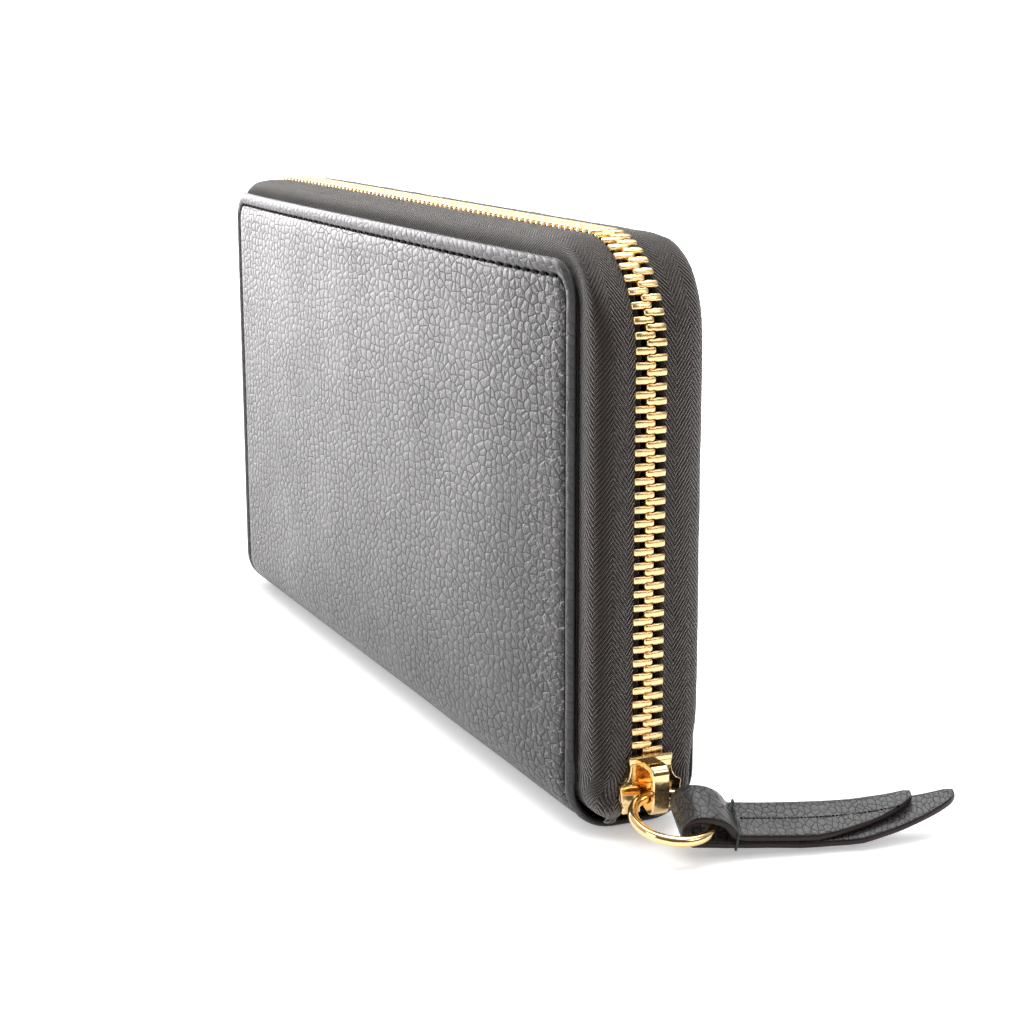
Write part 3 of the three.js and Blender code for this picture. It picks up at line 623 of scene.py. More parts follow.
def object_coordinates(net):
    return net.node("ShaderNodeTexCoord").outputs["Object"]


def own_uv(net):
    return net.node("ShaderNodeUVMap", uv_map="weave").outputs[0]


def laid_out(net, at, lie):
    """The two axes a grain runs along: a hide's own, an upright panel's, or a flat strap's."""
    if lie == "hide":
        return net.vector("SCALE", own_uv(net), scale=MM)
    split, join = net.node("ShaderNodeSeparateXYZ"), net.node("ShaderNodeCombineXYZ")
    net.put(at, split.inputs[0])
    x, y, z = split.outputs
    if lie == "upright":
        first, second = x, z
    else:
        first = net.math("SUBTRACT", x, y)
        second = net.math("ADD", net.math("ADD", x, y), net.math("MULTIPLY", z, 1.4))
    net.put(first, join.inputs[0])
    net.put(second, join.inputs[1])
    return join.outputs[0]


def shade_of(colour, k):
    return (colour[0] * k, colour[1] * k, colour[2] * k, 1.0)


def leather_material(name, colour, scale, depth, roughness=0.40, wrinkle=0.6, spec=0.5, gloss=0.5,
                     crease_shade=0.8, strip=None, lie="hide"):
    """Grained leather. strip gives the half length and height where its turned edge starts."""
    material, net, shader = base_material(name, colour, roughness)
    at = object_coordinates(net)
    pulled = wrinkle
    if strip:
        end, top = strip
        split = net.node("ShaderNodeSeparateXYZ")
        net.put(at, split.inputs[0])
        out, up = net.math("ABSOLUTE", split.outputs[0]), split.outputs[2]
        pulled = net.ramp(out, end - 0.034, end - 0.008, wrinkle, 0.3)
    grain = group_node(net, "pebble", pebble_group, Vector=laid_out(net, at, lie), Scale=scale,
                       Wrinkle=pulled)
    marks = group_node(net, "marks", wear_group, Vector=at)
    crease, height, shine = grain.outputs["Crease"], grain.outputs["Height"], gloss
    if strip:
        ends = net.ramp(out, end - 0.0005, end + 0.0003, 1.0, 0.4)
        tops = net.ramp(up, top - 0.0005, top + 0.0003, 1.0, 0.45)
        field = net.math("MINIMUM", ends, tops)
        crease, height = net.math("MULTIPLY", crease, field), net.math("MULTIPLY", height, field)
    tone = net.blend(net.ramp(marks.outputs["Blotch"], 0.3, 0.7), shade_of(colour, 0.85),
                     shade_of(colour, 1.2))
    # Painted shade: the grain's creases are darkened in the base colour, standing for the shadow that
    # falls in them.
    tone = net.blend(net.math("MULTIPLY", crease, crease_shade), tone, shade_of(colour, 0.15))
    if strip:
        # Painted glints: near the cover's ends the drawn-out folds are lightened in the base colour,
        # standing for highlights.
        near = net.math("MULTIPLY", net.ramp(field, 0.8, 1.0), net.ramp(out, end - 0.026, end - 0.004))
        broken = net.ramp(net.noise(at, 1100.0, 2.0, 0.6), 0.48, 0.60)
        glint = net.math("MULTIPLY", net.math("MULTIPLY", grain.outputs["Fold"], near), broken)
        tone = net.blend(glint, tone, (0.30, 0.285, 0.28, 1.0))
        calm = net.ramp(out, end - 0.040, end - 0.006, gloss, gloss * 0.5)
        lower = net.ramp(up, 0.012, 0.075, 0.8, 1.0)
        upper = net.ramp(up, 0.082, 0.101, 1.0, 0.72)
        shine = net.math("MULTIPLY", net.math("MULTIPLY", lower, upper),
                         net.math("MULTIPLY", field, calm))
    tone = net.blend(net.math("MULTIPLY", marks.outputs["Speck"], 0.35), tone, (0.35, 0.34, 0.33, 1.0))
    net.put(tone, shader.inputs["Base Color"])
    rough = net.math("MULTIPLY_ADD", marks.outputs["Blotch"], 0.10, roughness - 0.05)
    net.put(net.math("MULTIPLY_ADD", crease, 0.3, rough, clamp=True), shader.inputs["Roughness"])
    shader.inputs["Specular IOR Level"].default_value = spec
    coat = net.math("MULTIPLY", net.math("MULTIPLY_ADD", crease, -1.0, 1.0, clamp=True), shine)
    net.put(coat, shader.inputs["Coat Weight"])
    shader.inputs["Coat Roughness"].default_value = 0.33
    shader.inputs["Coat IOR"].default_value = 1.45
    net.put(net.bump(height, depth), shader.inputs["Normal"])
    return material


def turned_material(name, colour):
    """The smooth, lightly burnished leather of a turned edge."""
    material, net, shader = base_material(name, colour, 0.36)
    at = object_coordinates(net)
    shader.inputs["Specular IOR Level"].default_value = 0.32
    marks = group_node(net, "marks", wear_group, Vector=at, Blotch_Scale=220.0)
    tone = net.blend(marks.outputs["Blotch"], shade_of(colour, 0.7), shade_of(colour, 1.3))
    net.put(tone, shader.inputs["Base Color"])
    net.put(net.math("MULTIPLY_ADD", marks.outputs["Blotch"], 0.2, 0.25), shader.inputs["Roughness"])
    net.put(net.bump(net.noise(at, 600.0, 3.0, 0.6), 0.00008), shader.inputs["Normal"])
    return material


def edge_material(name, colour):
    """Edge paint, uneven where it soaked in."""
    material, net, shader = base_material(name, colour, 0.42)
    at = object_coordinates(net)
    marks = group_node(net, "marks", wear_group, Vector=at, Blotch_Scale=300.0)
    tone = net.blend(marks.outputs["Blotch"], shade_of(colour, 0.35), shade_of(colour, 0.85))
    net.put(tone, shader.inputs["Base Color"])
    shader.inputs["Specular IOR Level"].default_value = 0.22
    net.put(net.math("MULTIPLY_ADD", marks.outputs["Blotch"], 0.25, 0.25), shader.inputs["Roughness"])
    fine = net.noise(at, 1500.0, 3.0, 0.6)
    net.put(net.bump(fine, 0.00006), shader.inputs["Normal"])
    return material


def tape_material(name, colour, column=2.9, rib=1.0):
    """Herringbone tape on its own UV, in millimetres across and along."""
    material, net, shader = base_material(name, colour, 0.9)
    weave = group_node(net, "herringbone", herringbone_group, Vector=own_uv(net), Column=column,
                       Rib=rib)
    marks = group_node(net, "marks", wear_group, Vector=object_coordinates(net))
    tone = net.blend(weave.outputs["Rib"], shade_of(colour, 0.2), shade_of(colour, 1.1))
    tone = net.blend(net.math("MULTIPLY", weave.outputs["Fuzz"], 0.35), tone, shade_of(colour, 2.6))
    tone = net.blend(net.math("MULTIPLY", marks.outputs["Speck"], 0.8), tone, (0.4, 0.38, 0.36, 1.0))
    net.put(tone, shader.inputs["Base Color"])
    rough = net.math("MULTIPLY_ADD", weave.outputs["Fuzz"], 0.1, 0.86, clamp=True)
    net.put(rough, shader.inputs["Roughness"])
    shader.inputs["Specular IOR Level"].default_value = 0.12
    shader.inputs["Sheen Weight"].default_value = 0.85
    shader.inputs["Sheen Roughness"].default_value = 0.3
    shader.inputs["Sheen Tint"].default_value = (1.0, 0.97, 0.94, 1.0)
    net.put(net.bump(weave.outputs["Height"], 0.00024), shader.inputs["Normal"])
    return material


def metal_material(name, colour, roughness):
    """Plated metal with faint scratches."""
    material, net, shader = base_material(name, colour, roughness, 1.0)
    at = object_coordinates(net)
    marks = group_node(net, "marks", wear_group, Vector=at, Blotch_Scale=350.0,
                       Scratch_Scale=2600.0)
    tone = net.blend(marks.outputs["Blotch"], shade_of(colour, 0.88), shade_of(colour, 1.06))
    tone = net.blend(net.math("MULTIPLY", marks.outputs["Scratch"], 0.25), tone, shade_of(colour, 0.6))
    net.put(tone, shader.inputs["Base Color"])
    rough = net.math("MULTIPLY_ADD", marks.outputs["Blotch"], 0.10, roughness - 0.04)
    rough = net.math("MULTIPLY_ADD", marks.outputs["Scratch"], 0.16, rough, clamp=True)
    net.put(rough, shader.inputs["Roughness"])
    waves = net.noise(at, 700.0, 2.0, 0.5)
    net.put(net.bump(waves, 0.00003), shader.inputs["Normal"])
    return material


def thread_material(name, colour):
    """Twisted thread, its plies running across."""
    material, net, shader = base_material(name, colour, 0.7)
    shader.inputs["Specular IOR Level"].default_value = 0.15
    at = object_coordinates(net)
    ply = net.node("ShaderNodeTexWave", wave_type="BANDS", bands_direction="DIAGONAL")
    net.put(at, ply.inputs["Vector"])
    ply.inputs["Scale"].default_value = 900.0
    ply.inputs["Distortion"].default_value = 1.5
    tone = net.blend(ply.outputs["Fac"], shade_of(colour, 0.5), shade_of(colour, 1.5))
    net.put(tone, shader.inputs["Base Color"])
    net.put(net.math("MULTIPLY_ADD", ply.outputs["Fac"], 0.15, 0.75), shader.inputs["Roughness"])
    net.put(net.bump(ply.outputs["Fac"], 0.00008), shader.inputs["Normal"])
    return material


def cloth_material(name, colour):
    """A plain twill lining on object coordinates."""
    rib_pitch, yarn_pitch = 0.5, 0.4
    material, net, shader = base_material(name, colour, 0.8)
    at = object_coordinates(net)
    split = net.node("ShaderNodeSeparateXYZ")
    net.put(at, split.inputs[0])
    across = net.math("ADD", split.outputs[0], split.outputs[1])
    run = net.math("MULTIPLY", net.math("ADD", across, split.outputs[2]), 1000.0 / rib_pitch)
    rib = net.math("PINGPONG", run, 0.5)
    other = net.math("MULTIPLY", net.math("SUBTRACT", split.outputs[2], across), 1000.0 / yarn_pitch)
    yarn = net.math("PINGPONG", other, 0.5)
    height = net.math("MULTIPLY_ADD", yarn, 0.5, rib)
    fuzz = net.noise(at, 2500.0, 3.0, 0.6)
    tone = net.blend(net.math("MULTIPLY", height, 1.3, clamp=True), shade_of(colour, 0.55),
                     shade_of(colour, 1.4))
    tone = net.blend(net.math("MULTIPLY", fuzz, 0.3), tone, shade_of(colour, 1.8))
    net.put(tone, shader.inputs["Base Color"])
    net.put(net.math("MULTIPLY_ADD", fuzz, 0.2, 0.68), shader.inputs["Roughness"])
    shader.inputs["Sheen Weight"].default_value = 0.2
    shader.inputs["Sheen Roughness"].default_value = 0.45
    net.put(net.bump(height, 0.00012), shader.inputs["Normal"])
    return material


def board_material(name, colour, spec=0.3):
    """Pressed fibre, dull and matt."""
    material, net, shader = base_material(name, colour, 0.9)
    shader.inputs["Specular IOR Level"].default_value = spec
    fibre = net.noise(object_coordinates(net), 700.0, 5.0, 0.7)
    tone = net.blend(fibre, shade_of(colour, 0.7), shade_of(colour, 1.2))
    net.put(tone, shader.inputs["Base Color"])
    net.put(net.math("MULTIPLY_ADD", fibre, 0.15, 0.8), shader.inputs["Roughness"])
    net.put(net.bump(fibre, 0.00008), shader.inputs["Normal"])
    return material


MATERIALS = {}
TURNED_EDGE = 0.0026  # metres of smooth leather along a cover's edge


def finish_of(key):
    """The wallet's finishes, each made the first time it is asked for."""
    if key not in MATERIALS:
        c, s = bpy.context.scene.wallet_colours, sizes()
        makers = {
            "leather": lambda: leather_material(
                "Pebbled Leather", tuple(c.leather), 720.0, 0.00026, roughness=0.38, wrinkle=0.35,
                spec=0.22, gloss=0.72, crease_shade=0.95,
                strip=(s.half_l * MM - TURNED_EDGE, s.height * MM - TURNED_EDGE)),
            "tab": lambda: leather_material(
                "Tab Leather", shade_of(c.leather, 1.1)[:3], 860.0, 0.00034, roughness=0.40,
                wrinkle=0.4, spec=0.3, gloss=0.8, crease_shade=1.0, lie="strap"),
            "edge": lambda: edge_material("Painted Edge", tuple(c.edge)),
            "card": lambda: leather_material(
                "Smooth Leather", tuple(c.card), 1500.0, 0.00004, roughness=0.5, wrinkle=0.15,
                spec=0.4, gloss=0.1, lie="upright"),
            "tape": lambda: tape_material("Zip Tape", tuple(c.tape)),
            "coin_tape": lambda: tape_material("Coin Zip Tape", tuple(c.tape), 1.6, 0.6),
            "metal": lambda: metal_material("Polished Gold", tuple(c.metal), 0.10),
            "teeth": lambda: metal_material("Gold Teeth", tuple(c.metal), 0.26),
            "thread": lambda: thread_material("Black Thread", tuple(c.thread)),
            "wrap": lambda: thread_material("Neck Thread", tuple(c.wrap)),
            "lining": lambda: cloth_material("Twill Lining", tuple(c.lining)),
            "board": lambda: board_material("Fibre Board", (0.024, 0.022, 0.02)),
            # The stitch hole finish is near-black: painted shade for the inside of each hole.
            "hole": lambda: board_material("Stitch Hole", (0.003, 0.003, 0.003), 0.0),
            "turned": lambda: turned_material("Turned Edge", tuple(c.leather)),
        }
        MATERIALS[key] = makers[key]()
    return MATERIALS[key]


# ---------------------------------------------------------------- covers
def cover_columns(s):
    marks = [0.25, 0.6, 1.1, 1.7, 2.3, 2.65, 3.0, 3.35, 3.8, 4.8, 6.5, 9, 12]
    left = [-s.half_l + m for m in marks]
    right = [s.half_l - m for m in marks]
    return spread(left + right, -s.half_l, s.half_l, 6.0)


def cover_rows(s):
    arc = s.bend * pi / 2
    start = s.flat + arc
    top = start + s.height - s.bend
    rows = [0, s.flat * 0.5, s.flat] + [s.flat + arc * k / 10 for k in range(1, 11)]
    marks = (0.25, 0.6, 1.1, 1.7, 2.3, 2.65, 3.0, 3.35, 3.8, 4.4, 5.2, 6.1, 7.0, 9.0, 12.0)
    return rows + [t for t in spread([top - m for m in marks], start, top, 6.0) if t > start]


def cover_blend(side, other):
    """Where a cover's skin would leave the spine's body for its half's, round the bend; make takes this
    but does nothing with it.
    """
    return (other, (0, side * 6.8, 0.4), (0, side * 12.3, 7.0))


def cover_skin(s, side, name):
    """One cover's leather, from the spine's middle line over the bend to its top."""
    s = sided(s, side)
    cols, rows = cover_columns(s), cover_rows(s)

    def place(i, j):
        t = rows[j]
        _, z0 = wrap_point(s, t, 0, side)
        x = cols[i] / s.half_l * reach(s, z0)
        y, z = wrap_point(s, t, -relief(s, x, t, z0, side), side)
        return x, y, z

    bm = grid(len(cols) - 1, len(rows) - 1, place, uv=lambda i, j: (side * cols[i], rows[j]))
    return make(f"{name}_leather", bm, [finish_of("leather"), finish_of("turned")], "spine",
                [f"{name}_cover_leather"], facing=lambda p: (0, side, 0), thick=s.leather,
                blend=cover_blend(side, f"{name}_half"))


def stitch_line(s):
    """Points of the stitch line in (x, z), from its near foot to its far foot."""
    inset, r = s.stitch_inset, s.corner - s.stitch_inset
    x, top = s.half_l - inset, s.height - inset
    pts = [(x, z) for z in (0.9, 3.0, 5.5)]
    n = 60
    pts += [(x, mix(8, top - r, k / n)) for k in range(n + 1)]
    pts += [(x - r + r * cos(a), top - r + r * sin(a)) for a in (pi / 2 * k / 8 for k in range(1, 9))]
    pts += [(mix(x - r, 0, k / n), top) for k in range(1, n + 1)]
    return pts + [(-a, b) for a, b in reversed(pts[:-1])]


def walk(points, pitch, start=0.0):
    """Even steps along a line of points: place and direction of each."""
    out, want, run = [], start, 0.0
    for a, b in zip(points, points[1:]):
        a, b = Vector(a), Vector(b)
        step = (b - a).length
        while step > 0 and run + step >= want:
            out.append((a.lerp(b, (want - run) / step), (b - a).normalized()))
            want += pitch
        run += step
    return out


def ellipsoid(rx, ry, rz, rings=6):
    bm = bmesh.new()
    bmesh.ops.create_uvsphere(bm, u_segments=8, v_segments=rings, radius=1.0)
    bmesh.ops.scale(bm, vec=(rx, ry, rz), verts=bm.verts)
    return bm


def cover_stitches(s, side, name):
    """Black thread in its groove, and near-black blobs at the small holes it goes through, painted
    shade for their insides.
    """
    s = sided(s, side)
    arc = s.bend * pi / 2
    places, holes = [], []
    for (x, z), (dx, dz) in walk(stitch_line(s), s.stitch_pitch, 9.0):
        if z < s.bend:
            continue
        t = s.flat + arc + z - s.bend
        y, _ = wrap_point(s, t, -relief(s, x, t, z, side), side)
        out, run = Vector((0, side, 0)), Vector((dx, 0, dz))
        origin = Vector((x, y, z))
        tilt = Quaternion(out, radians(5)) @ run
        places.append(place_at(origin + out * 0.16, tilt, out, tilt.cross(out)))
        for k in (-1, 1):
            hole = origin + run * (k * s.stitch_pitch * 0.43) + out * 0.06
            holes.append(place_at(hole, run, out, run.cross(out)))
    make(f"{name}_stitches", gather([(ellipsoid(1.3, 0.26, 0.32), places)]), [finish_of("thread")],
         f"{name}_half")
    # Painted shade: near-black blobs stand for the shadow inside each stitch hole.
    make(f"{name}_stitch_hole_shades", gather([(ellipsoid(0.42, 0.14, 0.42, rings=4), holes)]),
         [finish_of("hole")], f"{name}_half")


def cover_board(s, side, name):
    """The stiffener between leather and lining."""
    s = sided(s, side)
    inset, depth = 1.3, s.leather + PLAY
    low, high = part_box(f"{name}_board")
    cols = spread([], -s.half_l + inset, s.half_l - inset, 8.0)
    rows = spread([high.z / MM - m for m in (0.6, 1.4, 2.6, 4.0, 6.0, 8.0)], low.z / MM,
                  high.z / MM, 8.0)

    def place(i, j):
        z = rows[j]
        x = cols[i] / (s.half_l - inset) * reach(s, z + inset * smooth((z - 50) / 40), inset)
        return x, side * (s.half_t - depth), z

    bm = grid(len(cols) - 1, len(rows) - 1, place)
    make(f"{name}_stiffener", bm, [finish_of("board")], f"{name}_half", [f"{name}_board"],
         facing=lambda p: (0, side, 0), thick=BOARD)


def cloth(obj, width, length):
    """Hands back the piece as it is; the size it was cut to, in millimetres, is not used."""
    return obj


def inner_skin(s, side, name):
    """The woven lining, from the spine's middle to the cover's top."""
    s = sided(s, side)
    depth = s.leather + PLAY + BOARD + PLAY + s.tape + PLAY
    inset = 0.8
    cols = spread([], -s.half_l + inset, s.half_l - inset, 7.0)
    arc = s.bend * pi / 2
    rows = [0, s.flat] + [s.flat + arc * k / 6 for k in range(1, 7)]
    start, top = rows[-1], rows[-1] + s.height - inset - s.bend
    marks = [top - m for m in (0.4, 1.2, 2.4, 3.8, 5.2)]
    rows += [t for t in spread(marks, start, top, 7.0) if t > start]

    def place(i, j):
        y, z = wrap_point(s, rows[j], depth, side)
        x = cols[i] / (s.half_l - inset) * reach(s, z + inset * smooth((z - 50) / 40), inset)
        return x, y + side * 0.05 * noise.noise(Vector((x * 0.08, z * 0.08, 3.0))), z

    bm = grid(len(cols) - 1, len(rows) - 1, place)
    obj = make(f"{name}_lining_cloth", bm, [finish_of("lining")], "spine", [f"{name}_lining"],
               facing=lambda p: (0, side, 0), thick=0.4,
               blend=cover_blend(side, f"{name}_half"))
    return cloth(obj, 2 * (s.half_l - inset), top)


# ---------------------------------------------------------------- zip
def tape_section(s, place, side):
    """Points across one tape from its sewn edge to the teeth."""
    depth = s.leather + PLAY + BOARD + PLAY + s.tape / 2
    r = s.bend - depth
    if place.angle == 0 and place.z < s.bend:
        fold = s.flat + math.sqrt(max(0.0, r * r - min(r, s.bend - place.z) ** 2))
    else:
        fold = s.half_t - depth
    inner = s.tape_edge + parted(s, place)
    run = fold - s.tape_flat
    bulge = 0.7 * sin(2 * place.angle) ** 2 + 0.2
    flare = (1.25 if side > 0 else 0.3) * (1 if place.angle > 0 else smooth((place.z - 9) / 14))
    # outwards, share of the stand-off, y, and share of the flare
    shape = [(-6, 0, fold, 0), (-3, 0, fold, 0), (-0.6, 0, fold, 0), (0.15, 0.02, fold, 0.1),
             (0.2 + bulge * 0.3, 0.24, fold - 0.02 * run, 0.55),
             (0.2 + bulge * 0.7, 0.48, fold - 0.09 * run, 0.9),
             (0.15 + bulge * 0.95, 0.70, fold - 0.22 * run, 1.0),
             (0.05 + bulge, 0.86, fold - 0.42 * run, 0.85),
             (bulge * 0.9, 0.95, fold - 0.68 * run, 0.5),
             (bulge * 0.65, 1.0, fold - 0.94 * run, 0.18),
             (bulge * 0.3, 1.0, mix(s.tape_flat, inner, 0.4), 0),
             (0, 1.0, mix(s.tape_flat, inner, 0.75), 0), (0, 1.0, inner, 0)]
    return [(n, part, y + flare * share) for n, part, y, share in shape]


def tape_rows(s):
    """Lengths along the zip's course at which its tapes are drawn, closer at the foot and corners."""
    rows = [1.4, 2.2, 3.0, 3.8, 4.6, 5.4, 6.2, 7.6, 8.65, 10, 11.2]
    rows += spread([], 13.0, s.zip_z, 3.0)
    rows += [s.zip_z + s.arc * k / 16 for k in range(1, 17)]
    half = rows + spread([], rows[-1] + 4, s.course / 2, 4.0)
    return half + [s.course - t for t in reversed(half[:-1])]


def tucked(place):
    """Share of the stand-off left at the tape's foot, where it tucks in over the spine."""
    if place.angle > 0 or place.z > 5.6:
        return 1.0
    return mix(0.12, 1.0, smooth((place.z - 1.0) / 4.6))


def zip_tape(s, side, name):
    """One side's tape, from under the cover's edge round to the teeth."""
    s = sided(s, side)
    rows = tape_rows(s)
    places = [course_place(s, t) for t in rows]
    shapes = [tape_section(s, p, side) for p in places]
    widths = [[0.0] for _ in shapes]
    for shape, width in zip(shapes, widths):
        for a, b in zip(shape, shape[1:]):
            width.append(width[-1] + hypot(b[0] - a[0] + (b[1] - a[1]) * 3.5, b[2] - a[2]))

    def place(i, j):
        n, part, y = shapes[j][i]
        pucker = 0.16 * noise.noise(Vector((rows[j] * 0.22, side * 5.0, i * 0.25)))
        pucker *= smooth((i - 3) / 3) * smooth((len(shapes[j]) - 2 - i) / 3)
        return course_point(places[j], n + pucker, side * y, part * tucked(places[j]))

    full = widths[len(rows) // 2][-1]
    bm = grid(len(shapes[0]) - 1, len(rows) - 1, place,
              uv=lambda i, j: (full - (widths[j][-1] - widths[j][i]), rows[j]))
    obj = make(f"{name}_tape", bm, [finish_of("tape")], "spine", [f"{name}_zip_tape"],
               facing=lambda p: (p.x * 0.1, 0, 1) if p.z > 95 else (p.x, 0, 0), thick=s.tape,
               offset=0.0, even=False, blend=(f"{name}_half", (0, side * 4, 1.5), (0, side * 4, 8.0)))
    cloth(obj, full, s.course)


def tooth_shape():
    """One tooth: outer end at +Y, tip at -Y, Z along the chain, X through it."""
    bm = bmesh.new()
    bmesh.ops.create_cube(bm, size=1.0)
    bmesh.ops.scale(bm, vec=(2.3, 2.0, 1.38), verts=bm.verts)
    bmesh.ops.translate(bm, vec=(0, 2.02, 0), verts=bm.verts)
    tip = min(bm.faces, key=lambda f: f.calc_center_median().y)

    def grow(tip, move, scale):
        tip = bmesh.ops.extrude_discrete_faces(bm, faces=[tip])["faces"][0]
        bmesh.ops.translate(bm, vec=move, verts=tip.verts)
        mid = sum((v.co for v in tip.verts), Vector()) / 4
        bmesh.ops.scale(bm, vec=scale, space=Matrix.Translation(-mid), verts=tip.verts)
        return tip

    tip = grow(tip, (0, -0.55, 0), (0.94, 1, 0.80))
    tip = grow(tip, (0, -0.75, 0), (1.04, 1, 1.16))
    tip = grow(tip, (0, -0.62, 0), (0.86, 1, 0.74))
    for v in bm.verts:
        if v.co.y > 2.9:
            v.co.x *= 0.9
            v.co.z *= 0.94
    bmesh.ops.remove_doubles(bm, verts=bm.verts, dist=1e-4)
    bmesh.ops.recalc_face_normals(bm, faces=bm.faces)
    rims = [e for e in bm.edges if e.is_manifold and e.calc_face_angle(0) > radians(50)]
    bmesh.ops.bevel(bm, geom=rims, offset=0.3, segments=2, profile=0.5, affect="EDGES", material=-1,
                    clamp_overlap=True)
    return bm


def tooth_places(s, side, first, last):
    """Where one side's teeth stand, from first along the course to last short of its end."""
    places, t = [], first
    while t < s.course - last:
        place = course_place(s, t)
        out = Vector((place.sign * cos(place.angle), 0, sin(place.angle)))
        y = Vector((0, side, 0))
        origin = course_point(place, 0, side * parted(s, place), 1.0)
        places.append(place_at(origin, out, y, out.cross(y)))
        t += s.tooth_pitch
    return places


def zip_teeth(s, side, name):
    """One side's teeth, half a pitch out of step with the other's, and the bead they grip."""
    first = s.slider_foot + 1.4 + (s.tooth_pitch / 2 if side > 0 else 0)
    places = tooth_places(s, side, first, 9.0)
    bead_line = []
    for t in tape_rows(s):
        if 4.5 < t < s.course - 4.5:
            place = course_place(s, t)
            y = side * (s.tape_edge + parted(s, place))
            bead_line.append(course_point(place, 0, y, tucked(place)))
    make(f"{name}_teeth", gather([(tooth_shape(), places)]), [finish_of("teeth")], f"{name}_half",
         [f"{name}_zip_teeth"])
    make(f"{name}_tape_bead", round_wire(bead_line, 0.62, 8), [finish_of("tape")], f"{name}_half")


def zip_stop(name, node, body):
    """A rounded metal stop as large as its node."""
    low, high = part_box(node)
    size = (high - low) / MM / 2
    bm = box(-size.x, size.x, -size.y, size.y, -size.z, size.z, 0.3)
    bmesh.ops.translate(bm, vec=(low + high) / 2 / MM, verts=bm.verts)
    make(name, bm, [finish_of("metal")], body, [node])


# ---------------------------------------------------------------- slider, ring and tab
def slider_outline(s):
    """The slider's plate in (y, z): wide at the foot, notched between its two mouths."""
    z0, z1 = s.slider_foot, s.slider_foot + s.slider_len
    half = [(1.3, z0 + 0.75), (2.6, z0 + 0.25), (4.6, z0 + 0.0), (5.25, z0 + 0.5), (5.75, z0 + 1.7),
            (5.85, z0 + 2.9), (6.0, z0 + 4.2), (5.85, z0 + 4.7), (5.3, z0 + 4.95), (4.7, z0 + 5.5),
            (4.25, z0 + 6.3), (4.05, z0 + 7.2), (4.0, z0 + 8.1), (4.2, z0 + 8.5), (4.25, z1 - 0.25),
            (4.05, z1)]
    return half + [(-y, z) for y, z in reversed(half)] + [(0, z0 + 1.25)]


def slider_body(s):
    """Two plates joined by side walls and a wedge, with a lip across the outer plate."""
    mid = s.half_l + s.proud_end
    gap, plate = 1.45, 1.0
    z0, z1 = s.slider_foot, s.slider_foot + s.slider_len
    outline = slider_outline(s)
    inner = [(y * 0.97, z) for y, z in outline]
    parts = [prism(outline, mid + gap, mid + gap + plate, deep_x, 0.22, 3),
             prism(inner, mid - gap - plate, mid - gap, deep_x, 0.2)]
    wall = [(4.9, z0 + 0.15), (5.3, z0 + 0.55), (5.8, z0 + 1.8), (5.95, z0 + 4.2), (5.2, z0 + 4.95),
            (4.2, z0 + 6.3), (3.98, z0 + 7.4), (4.0, z1 - 0.35), (3.3, z1 - 0.35), (3.3, z0 + 6.6),
            (4.4, z0 + 4.6), (5.1, z0 + 3.9), (5.05, z0 + 1.7), (4.75, z0 + 0.5)]
    for k in (-1, 1):
        w = [(k * y, z) for y, z in wall]
        parts += [prism(w, mid + 0.55, mid + gap + 0.4, deep_x, 0.12),
                  prism(w, mid - gap - 0.4, mid - 0.55, deep_x, 0.12)]
    wedge = [(-0.4, z0 + 1.4), (0.4, z0 + 1.4), (0.7, z0 + 2.2), (0.15, z0 + 3.1),
             (-0.15, z0 + 3.1), (-0.7, z0 + 2.2)]
    parts.append(prism(wedge, mid - gap - 0.3, mid + gap + 0.3, deep_x, 0.1))
    face = mid + gap + plate
    parts.append(box(face - 0.35, face + 0.22, -4.1, 4.1, z1 - 1.25, z1 - 0.15, 0.2, 3))
    make("zip_slider", gather(parts), [finish_of("metal")], "slider", ["slider_body"],
         shade=False)


def slider_bridge():
    """The arch on the slider that the ring hangs from."""
    x0 = node_edge("slider_bridge", 0, False) / MM - 0.1
    z0 = node_edge("slider_bridge", 2, False) / MM + 0.2
    z1 = node_edge("slider_bridge", 2) / MM - 0.2
    top = node_edge("slider_bridge", 0) / MM
    t = 1.05
    outer = [(x0, z0 - 0.3), (x0 + 1.2, z0 - 0.9), (x0 + 2.2, z0 - 1.2), (top - 0.9, z0 - 1.0),
             (top - 0.2, z0 - 0.2), (top, z0 + 1.3), (top + 0.1, (z0 + z1) / 2), (top, z1 - 1.2),
             (top - 0.35, z1 - 0.4), (top - 1.1, z1 + 0.15), (x0 + 1.6, z1 + 0.3), (x0, z1 + 0.3)]
    inner = [(x0, z1 - t + 0.2), (x0 + 1.5, z1 - t + 0.15), (top - t - 0.55, z1 - t - 0.1),
             (top - t, z1 - t - 0.8), (top - t + 0.02, (z0 + z1) / 2), (top - t, z0 + t + 0.6),
             (top - t - 0.6, z0 + t + 0.05), (x0 + 1.5, z0 + t - 0.15), (x0, z0 + t - 0.15)]
    bm = prism(outer + inner, -1.65, 1.65, deep_y, 0.26)
    make("zip_bridge", bm, [finish_of("metal")], "slider", ["slider_bridge"], shade=False)


RING_DROP, RING_TURN = 15.7, 14.5  # degrees: the ring's droop and the tab's place round it


def ring_frame(s):
    """Seat, outward direction and normal of the pull ring, and the tab's own axes."""
    drop, turn = radians(RING_DROP), radians(RING_TURN)
    out = Vector((cos(drop), 0, -sin(drop)))
    up = Vector((sin(drop), 0, cos(drop)))
    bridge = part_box("slider_bridge")
    seat = Vector((bridge[0].x / MM + 1.575, 0, s.slider_foot + 0.9 + 1.0 + 0.25 + s.ring_wire / 2))
    middle = seat + out * s.ring_radius
    along = out * sin(turn) + Vector((0, cos(turn), 0))
    wide = out * cos(turn) - Vector((0, sin(turn), 0))
    return SimpleNamespace(middle=middle, out=out, up=up, along=along, wide=wide,
                           seat=middle + along * s.ring_radius)


